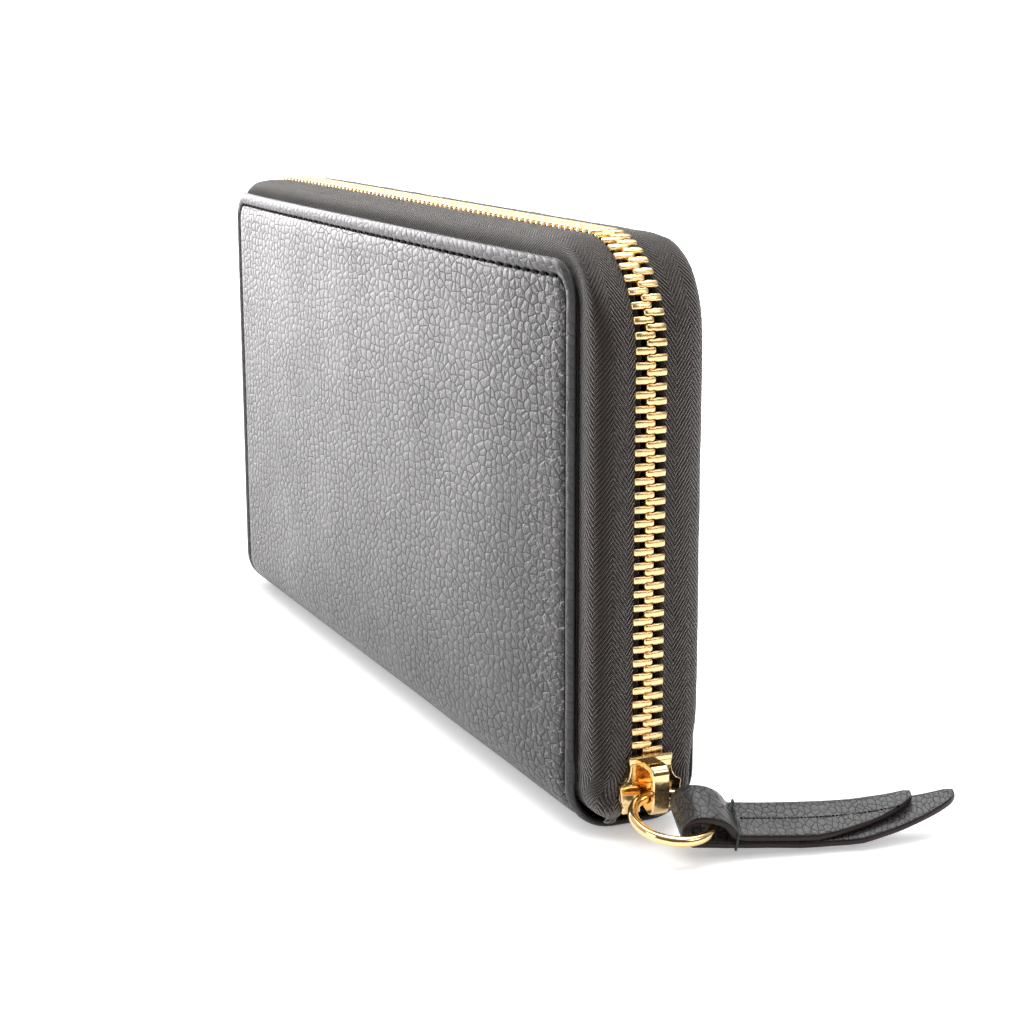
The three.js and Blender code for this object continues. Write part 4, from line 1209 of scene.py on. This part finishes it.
def pull_ring(s):
    """A round ring of wire with its faces slightly flattened."""
    f = ring_frame(s)
    bm = bmesh.new()
    r = s.ring_wire / 2
    flat = [(r, 0.25 * r), (0.8 * r, 0.68 * r), (0.35 * r, r), (-0.35 * r, r),
            (-0.8 * r, 0.68 * r), (-r, 0.25 * r)]
    flat += [(a, -b) for a, b in reversed(flat)]
    ring = [bm.verts.new(f.middle + f.out * (s.ring_radius + a) + f.up * b) for a, b in flat]
    loop = [bm.edges.new((p, q)) for p, q in zip(ring, ring[1:] + ring[:1])]
    bmesh.ops.spin(bm, geom=ring + loop, cent=f.middle, axis=f.up, angle=2 * pi, steps=64,
                   use_merge=True)
    bmesh.ops.remove_doubles(bm, verts=bm.verts, dist=1e-4)
    bmesh.ops.recalc_face_normals(bm, faces=bm.faces)
    make("ring", bm, [finish_of("metal")], "ring", ["pull_ring"])


# along the tab from its seat on the ring
TAB_NECK = 4.2  # the thread across the neck
TAB_CURL = 12.0  # where the strap starts to curl up
TAB_LOWER, TAB_UPPER = 45.0, 37.0  # the tips of its two layers
LOOP_FRONT, LOOP_H = -6.7, 6.6  # front and height of the loop round the ring
TAB_SHIFT = -0.3  # off the ring's middle


def tab_floor(s, a):
    """Height of the lower layer's middle."""
    return -LOOP_H / 2 + s.tab_thick / 2 + 0.005 * max(0.0, a - TAB_CURL) ** 2


def tab_over(s, a):
    """Height of the upper layer's middle, lifting off towards its tip."""
    return tab_floor(s, a) + s.tab_thick + 0.1 + 0.004 * max(0.0, a - 26) ** 2


def tab_path(s):
    """The strap's middle line, (along, up, distance for the width), lower tip to upper tip."""
    high = LOOP_H / 2 - s.tab_thick / 2
    path = [(TAB_LOWER - k, tab_floor(s, TAB_LOWER - k), TAB_LOWER - k)
            for k in (0, 0.5, 1.2, 2.2, 3.5, 5, 7, 9, 11, 13)]
    path += [(a, tab_floor(s, a), a) for a in (29, 26.5, 24, 21, 18, 15, 12, 10, 8, 6, 4, 2, 0)]
    r = 2.4
    for k in range(1, 14):
        a = -pi / 2 - pi * k / 14
        path.append((LOOP_FRONT + s.tab_thick / 2 + r + r * cos(a), high * sin(a), 0))
    path += [(-2.8, high + 0.02, 0), (-1.6, high - 0.08, 0), (-0.6, high - 0.32, 0),
             (0.4, high - 0.72, 0), (1.3, high - 1.28, 0), (2.0, high - 1.95, 0),
             (2.6, high - 2.65, 0), (3.2, tab_over(s, 3) + 0.38, 0), (3.9, tab_over(s, 4) + 0.1, 0),
             (4.8, tab_over(s, 5), 0)]
    path += [(a, tab_over(s, a), a) for a in (6, 8, 10, 12, 15, 18, 21, 23.5)]
    path += [(TAB_UPPER - k, tab_over(s, TAB_UPPER - k), TAB_UPPER - k)
             for k in (12, 10, 8, 6.2, 4.6, 3.2, 2, 1, 0.4, 0)]
    return path


TAB_PROFILE = [(-1, -0.45), (-1, 0.45), (-0.955, 0.86), (-0.9, 1.0), (-0.6, 1.02), (-0.2, 1.03),
               (0.2, 1.03), (0.6, 1.02), (0.9, 1.0), (0.955, 0.86), (1, 0.45), (1, -0.45),
               (0.955, -0.86), (0.9, -1.0), (0.6, -1.0), (0.2, -1.0), (-0.2, -1.0), (-0.6, -1.0),
               (-0.9, -1.0), (-0.955, -0.86)]


def pull_tab(s):
    """The leather strap folded over the ring, its tips rounded and its cut edges painted."""
    f = ring_frame(s)
    path = tab_path(s)
    half = len(path) // 2
    loops = []
    for k, (a, h, w) in enumerate(path):
        p, q = path[max(0, k - 1)], path[min(len(path) - 1, k + 1)]
        t = Vector((q[0] - p[0], q[1] - p[1])).normalized()
        tip = TAB_LOWER if k < half else TAB_UPPER
        width = s.tab_width / 2 * min(1.0, 0.13 + 0.87 * max(0.0, (tip - w) / 18) ** 0.6)
        lean = -0.72 * (s.tab_width / 2 - width)
        if w == 0:
            width *= 0.985
        th = s.tab_thick / 2 - 0.07 * math.exp(-((a - TAB_NECK) / 0.6) ** 2)
        if tip - w < 0.6:
            th *= 0.72
        ring = []
        for u, v in TAB_PROFILE:
            wave = 0.12 * noise.noise(Vector((a * 0.22, u * 1.3, 2.0 + k * 0.02)))
            wave *= 1 if w > TAB_NECK + 2 else 0.2
            off = v * th
            ring.append(tab_point(f, a - t.y * off, h + t.x * off + wave, TAB_SHIFT + lean + u * width))
        loops.append(ring)
    bm = tube(loops)
    for face in bm.faces:
        side = abs(face.normal.dot(f.wide)) > 0.5
        tip = len(face.verts) > 4
        near = (face.calc_center_median() - f.seat).dot(f.along)
        rim = side or tip or (near > TAB_UPPER - 16 and abs(face.normal.dot(f.up)) < 0.35)
        face.material_index = 1 if rim else 0
    make("tab_strap", bm, [finish_of("tab"), finish_of("edge")], "tab", ["pull_tab"])


def tab_point(f, a, h, w):
    """A point along, above and across the tab's own axes."""
    return f.seat + f.along * a + f.up * h + f.wide * w


def tab_stitching(s):
    """The thread wound across the neck, and the row of stitches down the tab's middle with near-black
    blobs at their holes as painted shade.
    """
    f = ring_frame(s)
    lo = tab_floor(s, TAB_NECK) - s.tab_thick / 2 + 0.02
    hi = tab_over(s, TAB_NECK) + s.tab_thick / 2 + 0.04
    w = s.tab_width / 2
    left, right = TAB_SHIFT - w, TAB_SHIFT + w
    line = []

    def lean(u):
        return TAB_NECK + 0.75 * (1 - 2 * u)

    for k in range(13):
        line.append((lean(k / 12) + 0.10 * sin(k * 1.7), hi + 0.10, mix(left, right, k / 12)))
    line += [(lean(1), mix(hi, lo, k / 6), right + 0.12 * sin(pi * k / 6) + 0.06)
             for k in range(1, 6)]
    for k in range(13):
        line.append((lean(1 - k / 12) + 0.10 * sin(k * 2.1), lo - 0.10, mix(right, left, k / 12)))
    line += [(lean(0), mix(lo, hi, k / 6), left - 0.12 * sin(pi * k / 6) - 0.06)
             for k in range(1, 6)]
    pts = [tab_point(f, *p) for p in line]
    loops = []
    n = len(pts)
    for k, p in enumerate(pts):
        t = (pts[(k + 1) % n] - pts[k - 1]).normalized()
        out = t.cross(f.along).normalized()
        loops.append([p + (out * cos(2 * pi * q / 8) + f.along * sin(2 * pi * q / 8)) * 0.24
                      for q in range(8)])
    wrap = tube(loops, closed=True)
    make("neck_thread", wrap, [finish_of("wrap")], "tab", ["tab_thread"])
    places, holes, a = [], [], TAB_NECK + 2.2
    while a < TAB_UPPER - 4.5:
        h = tab_over(s, a) + s.tab_thick / 2 + 0.02
        slope = tab_over(s, a + 0.5) - tab_over(s, a - 0.5)
        run = (f.along + f.up * slope).normalized()
        out = f.wide.cross(run).normalized()
        if out.dot(f.up) < 0:
            out = -out
        places.append(place_at(tab_point(f, a, h, TAB_SHIFT), run, out, run.cross(out)))
        for k in (-1, 1):
            hole = tab_point(f, a, h - 0.03, TAB_SHIFT) + run * k * 1.15
            holes.append(place_at(hole, run, out, run.cross(out)))
        a += 2.9
    make("tab_stitches", gather([(ellipsoid(1.0, 0.2, 0.24), places)]), [finish_of("wrap")], "tab")
    # Painted shade: near-black blobs stand for the shadow inside each stitch hole.
    make("tab_stitch_hole_shades", gather([(ellipsoid(0.3, 0.12, 0.3, rings=4), holes)]),
         [finish_of("hole")], "tab")


# ---------------------------------------------------------------- inside
def panel_sheet(x0, x1, y, z0, z1, side, mouth=False, dip=0.0):
    """A flat leather panel with turned edges and a creased line below its mouth."""
    marks = (0.25, 0.7, 1.4, 2.0)
    xs = spread([x0 + m for m in marks] + [x1 - m for m in marks], x0, x1, 8.0)
    zs = spread([z1 - m for m in (0.2, 0.6, 1.3, 1.9, 2.2, 2.5, 3.2)] + [z0 + 0.3], z0, z1, 8.0)

    def place(i, j):
        x, z = xs[i], zs[j]
        d = min(x - x0, x1 - x, z - z0)
        out = -0.12 * (1 - min(1.0, min(d, z1 - z) / 0.5)) ** 2
        if mouth:
            out += (0.06 * math.exp(-((z1 - z - 1.1) / 0.7) ** 2)
                    - 0.10 * math.exp(-((z1 - z - 2.2) / 0.25) ** 2))
        out -= 0.08 * math.exp(-((d - 1.4) / 0.3) ** 2)
        sag = dip * sin(pi * (x - x0) / (x1 - x0)) * smooth((z - z0) / (z1 - z0) * 2 - 1)
        return x, y - side * out, z - sag

    return grid(len(xs) - 1, len(zs) - 1, place)


def card_panels(side, name):
    """The panel behind one half's card pockets, and three pockets at each end."""
    finishes = [finish_of("card"), finish_of("edge")]
    low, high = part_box(f"{name}_card_panel")
    outer = (low.y if side < 0 else high.y) / MM
    bm = panel_sheet(low.x / MM, high.x / MM, outer - side * 0.5, low.z / MM, high.z / MM, side)
    make(f"{name}_panel", bm, finishes, f"{name}_half", [f"{name}_card_panel"],
         facing=lambda p: (0, -side, 0), thick=0.45)
    for end, _ in ENDS:
        for row in (1, 2, 3):
            node = f"{name}_pocket_{end}_{row}"
            low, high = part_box(node)
            inner = (high.y if side < 0 else low.y) / MM
            bm = panel_sheet(low.x / MM, high.x / MM, inner, low.z / MM, high.z / MM, side, True, 0.9)
            make(f"{name}_card_{end}_{row}", bm, finishes, f"{name}_half", [node],
                 facing=lambda p: (0, -side, 0), thick=0.48)
    pocket_stitches(side, name)


def pocket_stitches(side, name):
    """Thread down both sides and the foot of each column of pockets."""
    places = []
    for end, _ in ENDS:
        face_low, face_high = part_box(f"{name}_pocket_{end}_3")
        x0, x1, z0 = face_low.x / MM + 1.4, face_high.x / MM - 1.4, face_low.z / MM + 1.4
        y = (face_high.y if side < 0 else face_low.y) / MM - side * 0.02
        z1 = face_high.z / MM - 1.5
        line = [(x0, z1), (x0, z0), (x1, z0), (x1, z1)]
        for p, d in walk(line, 3.0, 1.5):
            run, out = Vector((d.x, 0, d.y)), Vector((0, -side, 0))
            places.append(place_at(Vector((p.x, y, p.y)), run, out, run.cross(out)))
    make(f"{name}_pocket_stitches", gather([(ellipsoid(1.05, 0.16, 0.2), places)]),
         [finish_of("thread")], f"{name}_half")


def fold_line(points, rounding=0.35, steps=4):
    """A line of points in XY with its corners rounded."""
    out = [Vector(points[0])]
    for a, b, c in zip(points, points[1:], points[2:]):
        a, b, c = Vector(a), Vector(b), Vector(c)
        r = min(rounding, (b - a).length / 2, (c - b).length / 2)
        p, q = b + (a - b).normalized() * r, b + (c - b).normalized() * r
        out += [p.lerp(b, k / steps).lerp(b.lerp(q, k / steps), k / steps)
                for k in range(steps + 1)]
    return out + [Vector(points[-1])]


def run_of(line):
    return sum((b - a).length for a, b in zip(line, line[1:]))


def gussets(side, name):
    """The folded cloth at both ends between a half's card panel and the coin pocket."""
    for end, sign in ENDS:
        low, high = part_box(f"{name}_gusset_{end}")
        card_y = abs(low.y if side < 0 else high.y) / MM - 0.15
        coin_y = abs(high.y if side < 0 else low.y) / MM + 0.15
        far_x, fold_x = 91.0, 70.2
        face = card_y - 1.95
        line = fold_line([(far_x, card_y), (88.7, card_y), (88.55, face),
                          (fold_x, (face + coin_y) / 2), (87, coin_y), (90, coin_y)])
        zs = spread([], low.z / MM, high.z / MM, 5.0)

        def place(i, j):
            p, z = line[i], zs[j]
            crumple = 0.12 * noise.noise(Vector((p.x * 0.3, z * 0.12, side * 3.0 + sign)))
            crumple *= smooth((88 - p.x) / 4)
            return sign * p.x, side * (p.y + crumple), z

        bm = grid(len(line) - 1, len(zs) - 1, place)
        obj = make(f"{name}_side_fold_{end}", bm, [finish_of("lining")], "spine",
                   [f"{name}_gusset_{end}"], thick=0.3, offset=0.0,
                   blend=(f"{name}_half", (0, side * coin_y, 40), (0, side * card_y, 40)))
        cloth(obj, run_of(line), zs[-1] - zs[0])


def coin_pocket(s):
    """The coin pocket: its two walls with the zip along their tops, floor, folded ends and stops."""
    top, half, wall = s.coin_top, s.coin_half, 2.57
    foot = node_edge("coin_wall_front", 2, False) / MM
    marks = (0.3, 1.0, 2.2)
    xs = spread([-half + m for m in marks] + [half - m for m in marks], -half, half, 7.0)
    zs = spread([top - m for m in (0.2, 0.6, 1.3, 2.0, 2.4, 2.8, 3.6)], foot, top, 6.0)
    for name, side in SIDES:

        def place(i, j, side=side):
            x, z = xs[i], zs[j]
            out = 0.05 * noise.noise(Vector((x * 0.06, z * 0.07, side * 9.0)))
            out -= 0.10 * math.exp(-((top - z - 2.4) / 0.3) ** 2)
            return x, side * (wall + out), z

        bm = grid(len(xs) - 1, len(zs) - 1, place)
        make(f"coin_panel_{name}", bm, [finish_of("card"), finish_of("edge")], "spine",
             [f"coin_wall_{name}"], facing=lambda p, side=side: (0, side, 0), thick=0.45)
        coin_zip_side(s, name, side)
    low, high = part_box("coin_base")
    bm = grid(40, 6, lambda i, j: (mix(low.x, high.x, i / 40) / MM, mix(low.y, high.y, j / 6) / MM,
                                   high.z / MM + 0.25 * (2 * j / 6 - 1) ** 2))
    make("coin_floor", bm, [finish_of("lining")], "spine", ["coin_base"],
         facing=lambda p: (0, 0, 1), thick=0.25)
    for end, sign in ENDS:
        low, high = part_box(f"coin_end_{end}")
        line = fold_line([(88.9, -1.4), (81.2, 0), (88.9, 1.4)], 1.2)
        zs = spread([], low.z / MM, high.z / MM, 6.0)
        bm = grid(len(line) - 1, len(zs) - 1, lambda i, j: (sign * line[i].x, line[i].y, zs[j]))
        obj = make(f"coin_fold_{end}", bm, [finish_of("lining")], "spine", [f"coin_end_{end}"],
                   thick=0.3, offset=0.0)
        cloth(obj, run_of(line), zs[-1] - zs[0])
        zip_stop(f"coin_zip_stop_{end}", f"coin_stop_{end}", "spine")


def coin_zip_side(s, name, side):
    """One tape of the coin zip, bent over towards the teeth, and its row of teeth."""
    low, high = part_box(f"coin_tape_{name}")
    half = high.x / MM
    top = s.coin_top
    line = [(1.95, top - 6), (1.9, top - 3), (1.88, top), (1.86, top + 0.8), (1.7, top + 1.3),
            (1.35, top + 1.62), (0.95, top + 1.7)]
    xs = spread([], -half, half, 3.0)
    run = [0.0]
    for a, b in zip(line, line[1:]):
        run.append(run[-1] + hypot(b[0] - a[0], b[1] - a[1]))
    bm = grid(len(line) - 1, len(xs) - 1, lambda i, j: (xs[j], side * line[i][0], line[i][1]),
              uv=lambda i, j: (run[i], xs[j]))
    make(f"coin_zip_tape_{name}", bm, [finish_of("coin_tape")], "spine", [f"coin_tape_{name}"],
         facing=lambda p: (0, side, 0), thick=0.3, offset=0.0)
    low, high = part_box(f"coin_teeth_{name}")
    tooth = tooth_shape()
    bmesh.ops.scale(tooth, vec=(0.55, 0.62, 0.58), verts=tooth.verts)
    places, x, pitch = [], low.x / MM + 0.8 + (0.7 if side > 0 else 0), 1.4
    z = (low.z + high.z) / 2 / MM + 0.05
    up, y = Vector((0, 0, 1)), Vector((0, side, 0))
    while x < high.x / MM - 0.4:
        places.append(place_at(Vector((x, 0, z)), up, y, up.cross(y)))
        x += pitch
    make(f"coin_zip_teeth_{name}", gather([(tooth, places)]), [finish_of("teeth")], "spine",
         [f"coin_teeth_{name}"], shade=False)


def coin_slider(s):
    """The coin zip's small slider: plate, side walls, foot, post and the arch for its puller."""
    low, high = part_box("coin_slider")
    x0, x1, w = low.x / MM, high.x / MM, high.y / MM
    foot, top = low.z / MM, high.z / MM
    plate = top - 2.9
    outline = [(x0, -w * 0.82), (x0 + 1.0, -w * 0.86), (x0 + 3.2, -w), (x1 - 1.0, -w),
               (x1, -w * 0.8), (x1 - 0.7, 0), (x1, w * 0.8), (x1 - 1.0, w), (x0 + 3.2, w),
               (x0 + 1.0, w * 0.86), (x0, w * 0.82)]
    parts = [prism(outline, plate, plate + 0.75, deep_z, 0.18)]
    for k in (-1, 1):
        wall = [(x0 + 0.2, k * w * 0.8), (x0 + 3.2, k * (w - 0.05)), (x1 - 1.0, k * (w - 0.05)),
                (x1 - 1.0, k * (w - 0.6)), (x0 + 3.2, k * (w - 0.6)), (x0 + 0.2, k * (w * 0.8 - 0.5))]
        parts.append(prism(wall, s.coin_top + 0.95, plate + 0.3, deep_z, 0.1))
    parts.append(box(x0 + 0.6, x1 - 0.6, -1.3, 1.3, foot, foot + 0.7, 0.15))
    parts.append(box(x1 - 3.4, x1 - 1.6, -0.45, 0.45, foot + 0.4, plate + 0.2, 0.08, 1))
    xa, xb = x0 + 2.4, x0 + 7.0
    arch = [(xa, plate + 0.6), (xa + 0.15, top - 0.5), (xa + 0.8, top), (xb - 0.8, top),
            (xb - 0.15, top - 0.5), (xb, plate + 0.6), (xb - 0.8, plate + 0.6),
            (xb - 0.9, top - 0.95), (xb - 1.2, top - 0.75), (xa + 1.2, top - 0.75),
            (xa + 0.9, top - 0.95), (xa + 0.8, plate + 0.6)]
    parts.append(prism(arch, -0.7, 0.7, deep_y, 0.15))
    make("coin_zip_slider", gather(parts), [finish_of("metal")], "coin_slider", ["coin_slider"],
         shade=False)


def coin_puller():
    """The coin zip's flat puller: a frame through the slider's arch and a leaf-shaped tongue."""
    low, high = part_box("coin_puller")
    x0, x1, z0, z1 = low.x / MM, high.x / MM, low.z / MM, high.z / MM
    frame_side = [(x1, 1.9), (x1 - 4.9, 1.9), (x1 - 4.9, 1.1), (x1 - 0.9, 1.1), (x1 - 0.9, -1.1),
                  (x1 - 4.9, -1.1), (x1 - 4.9, -1.9), (x1, -1.9)]
    leaf = [(x1 - 4.2, 1.85), (x1 - 4.2, -1.85), (x1 - 6, -1.75), (x1 - 16, -2.2), (x1 - 18, -2.25),
            (x1 - 19.4, -1.6), (x0, 0), (x1 - 19.4, 1.6), (x1 - 18, 2.25), (x1 - 16, 2.2),
            (x1 - 6, 1.75)]
    parts = [prism(frame_side, z0 + 0.05, z1 - 0.05, deep_z, 0.12),
             prism(leaf, z0, z1, deep_z, 0.22, 3)]
    make("coin_pull", gather(parts), [finish_of("metal")], "coin_puller", ["coin_puller"],
         shade=False)


# ---------------------------------------------------------------- stage
CAMERA_AT = (0.41690, -0.16359, 0.13716)
CAMERA_TO = (-0.892766, 0.394240, -0.218046)
CAMERA_LENS = 73.144
CAMERA_ROLL = 0.146  # degrees

FLOOR_HALF, FLOOR_Z = 6.0, -0.0002
FLOOR_NEAR, FLOOR_FAR = 0.45, 1.3  # from the wallet, between which the floor turns white
SKY_TOWARD = (-0.82, 0.15, 0.55)  # the brightest side of the room

# name, place, aim, size, watts, colour
LIGHTS = (
    ("Overhead", (-0.25, 0.15, 1.2), (0.0, 0.0, 0.0), (1.3, 1.3), 20, (1, 1, 1)),
    ("Far window", (-1.25, -0.22, 0.36), (0.0, -0.02, 0.05), (0.62, 0.66), 13.2, (1.0, 0.965, 0.985)),
    ("Left card", (0.45, -1.15, 0.55), (0.08, 0.0, 0.03), (0.5, 0.5), 3.5, (1, 1, 1)),
    ("Near right", (0.9, 0.55, 0.75), (0.08, 0.0, 0.05), (0.45, 0.45), 2.2, (1, 1, 1)),
)


def soft_light(name, at, to, size, watts, colour):
    data = bpy.data.lights.new(name, "AREA")
    data.shape, data.size, data.size_y = "RECTANGLE", size[0], size[1]
    data.energy, data.color = watts, colour
    obj = bpy.data.objects.new(name, data)
    bpy.context.scene.collection.objects.link(obj)
    obj.location = at
    obj.rotation_euler = (Vector(to) - Vector(at)).to_track_quat("-Z", "Y").to_euler()


def studio_world(scene):
    """A white backdrop for the camera, and a room brighter on one side for everything else."""
    world = bpy.data.worlds.new("Studio")
    scene.world = world
    world.use_nodes = True
    net = Net(world.node_tree)
    shade = world.node_tree.nodes["Background"]
    shade.inputs["Color"].default_value = (1.0, 1.0, 1.0, 1.0)
    way = net.node("ShaderNodeTexCoord").outputs["Generated"]
    toward = net.node("ShaderNodeVectorMath", operation="DOT_PRODUCT")
    net.put(way, toward.inputs[0])
    toward.inputs[1].default_value = Vector(SKY_TOWARD).normalized()
    studio = net.ramp(toward.outputs["Value"], -0.45, 0.75, 0.10, 0.85)
    path = net.node("ShaderNodeLightPath").outputs["Is Camera Ray"]
    lit = net.math("ADD", net.math("MULTIPLY", path, 1.1),
                   net.math("MULTIPLY", net.math("SUBTRACT", 1.0, path), studio))
    net.put(lit, shade.inputs["Strength"])


def pale_floor(scene):
    """A pale floor that takes the wallet's shadow. It glows as painted light: faintly near the wallet,
    which softens the shadow, and fully white further off.
    """
    bm = bmesh.new()
    bmesh.ops.create_grid(bm, x_segments=8, y_segments=8, size=FLOOR_HALF)
    mesh = bpy.data.meshes.new("floor")
    bm.to_mesh(mesh)
    bm.free()
    floor = bpy.data.objects.new("floor", mesh)
    scene.collection.objects.link(floor)
    colour = tuple(scene.wallet_colours.floor)
    material, net, shader = base_material("Pale Floor", colour, 0.6)
    shader.inputs["Specular IOR Level"].default_value = 0.15
    haze = net.noise(object_coordinates(net), 3.0, 2.0)
    net.put(net.blend(haze, shade_of(colour, 0.995), shade_of(colour, 1.0)),
            shader.inputs["Base Color"])
    # Painted light: the floor's glow rises from about a third near the wallet to full white further
    # off.
    away = net.node("ShaderNodeVectorMath", operation="LENGTH")
    net.put(object_coordinates(net), away.inputs[0])
    net.put(net.ramp(away.outputs["Value"], FLOOR_NEAR, FLOOR_FAR, 0.34, 1.0),
            shader.inputs["Emission Color"])
    shader.inputs["Emission Strength"].default_value = 1.0
    mesh.materials.append(material)
    floor.location.z = FLOOR_Z


def set_camera(scene):
    data = bpy.data.cameras.new("Camera")
    data.lens, data.sensor_width, data.clip_start = CAMERA_LENS, 36.0, 0.01
    camera = bpy.data.objects.new("Camera", data)
    scene.collection.objects.link(camera)
    look = Vector(CAMERA_TO)
    turn = look.to_track_quat("-Z", "Y")
    camera.location = CAMERA_AT
    camera.rotation_euler = (Quaternion(look.normalized(), radians(CAMERA_ROLL)) @ turn).to_euler()
    scene.camera = camera


def make_stage():
    scene = bpy.context.scene
    scene.view_settings.view_transform = "Standard"
    scene.view_settings.look = "None"
    studio_world(scene)
    pale_floor(scene)
    for light in LIGHTS:
        soft_light(*light)
    set_camera(scene)


# ---------------------------------------------------------------- operators
class WALLET_OT_covers(bpy.types.Operator):
    """Build the leather covers and spine with their stitching and stiffeners"""
    bl_idname = "wallet.covers"
    bl_label = "Covers and Spine"

    def execute(self, context):
        s = sizes()
        for name, side in SIDES:
            obj = cover_skin(s, side, name)
            if name == "front":
                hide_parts("spine_leather")
            cover_stitches(s, side, name)
            cover_board(s, side, name)
        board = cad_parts["spine_board"]
        board.data.materials.clear()
        board.data.materials.append(finish_of("board"))
        return {"FINISHED"}


class WALLET_OT_lining(bpy.types.Operator):
    """Build the woven lining inside the covers and spine"""
    bl_idname = "wallet.lining"
    bl_label = "Lining"

    def execute(self, context):
        s = sizes()
        for name, side in SIDES:
            obj = inner_skin(s, side, name)
            if name == "front":
                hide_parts("spine_lining")
        return {"FINISHED"}


class WALLET_OT_zip(bpy.types.Operator):
    """Build the main zip's tapes, teeth and stops"""
    bl_idname = "wallet.zip"
    bl_label = "Main Zip"

    def execute(self, context):
        s = sizes()
        for name, side in SIDES:
            zip_tape(s, side, name)
            zip_teeth(s, side, name)
            zip_stop(f"{name}_stop", f"{name}_top_stop", f"{name}_half")
        zip_stop("far_stop", "bottom_stop", "front_half")
        return {"FINISHED"}


class WALLET_OT_slider(bpy.types.Operator):
    """Build the slider with its bridge, and the pull ring"""
    bl_idname = "wallet.slider"
    bl_label = "Slider and Ring"

    def execute(self, context):
        s = sizes()
        slider_body(s)
        slider_bridge()
        pull_ring(s)
        return {"FINISHED"}


class WALLET_OT_tab(bpy.types.Operator):
    """Build the folded leather pull tab and its thread"""
    bl_idname = "wallet.tab"
    bl_label = "Pull Tab"

    def execute(self, context):
        s = sizes()
        pull_tab(s)
        tab_stitching(s)
        return {"FINISHED"}


class WALLET_OT_cards(bpy.types.Operator):
    """Build the card panels, their pockets and the side gussets"""
    bl_idname = "wallet.cards"
    bl_label = "Card Pockets and Gussets"

    def execute(self, context):
        for name, side in SIDES:
            card_panels(side, name)
            gussets(side, name)
        return {"FINISHED"}


class WALLET_OT_coins(bpy.types.Operator):
    """Build the coin pocket with its zip, slider and puller"""
    bl_idname = "wallet.coins"
    bl_label = "Coin Pocket"

    def execute(self, context):
        s = sizes()
        coin_pocket(s)
        coin_slider(s)
        coin_puller()
        return {"FINISHED"}


class WALLET_OT_stage(bpy.types.Operator):
    """Set up the floor, soft lights and camera"""
    bl_idname = "wallet.stage"
    bl_label = "Stage"

    def execute(self, context):
        make_stage()
        return {"FINISHED"}


OPERATORS = (WALLET_OT_covers, WALLET_OT_lining, WALLET_OT_zip, WALLET_OT_slider, WALLET_OT_tab,
             WALLET_OT_cards, WALLET_OT_coins, WALLET_OT_stage)


class WALLET_PT_panel(bpy.types.Panel):
    """Lists the wallet's builders and their sizes and colours"""
    bl_label = "Zip Around Wallet"
    bl_idname = "WALLET_PT_panel"
    bl_space_type = "VIEW_3D"
    bl_region_type = "UI"
    bl_category = "Wallet"

    def draw(self, context):
        for operator in OPERATORS:
            self.layout.operator(operator.bl_idname)
        for group in (context.scene.wallet_sizes, context.scene.wallet_colours):
            column = self.layout.column()
            for key in group.__annotations__:
                column.prop(group, key)


CLASSES = (WalletSizes, WalletColours, *OPERATORS, WALLET_PT_panel)


def register():
    for cls in CLASSES:
        bpy.utils.register_class(cls)
    bpy.types.Scene.wallet_sizes = PointerProperty(type=WalletSizes)
    bpy.types.Scene.wallet_colours = PointerProperty(type=WalletColours)


def unregister():
    del bpy.types.Scene.wallet_colours
    del bpy.types.Scene.wallet_sizes
    for cls in reversed(CLASSES):
        bpy.utils.unregister_class(cls)


def main():
    register()
    bpy.ops.wallet.covers()
    bpy.ops.wallet.lining()
    bpy.ops.wallet.zip()
    bpy.ops.wallet.slider()
    bpy.ops.wallet.tab()
    bpy.ops.wallet.cards()
    bpy.ops.wallet.coins()
    bpy.ops.wallet.stage()
    bpy.context.view_layer.update()


if __name__ == "__main__":
    main()
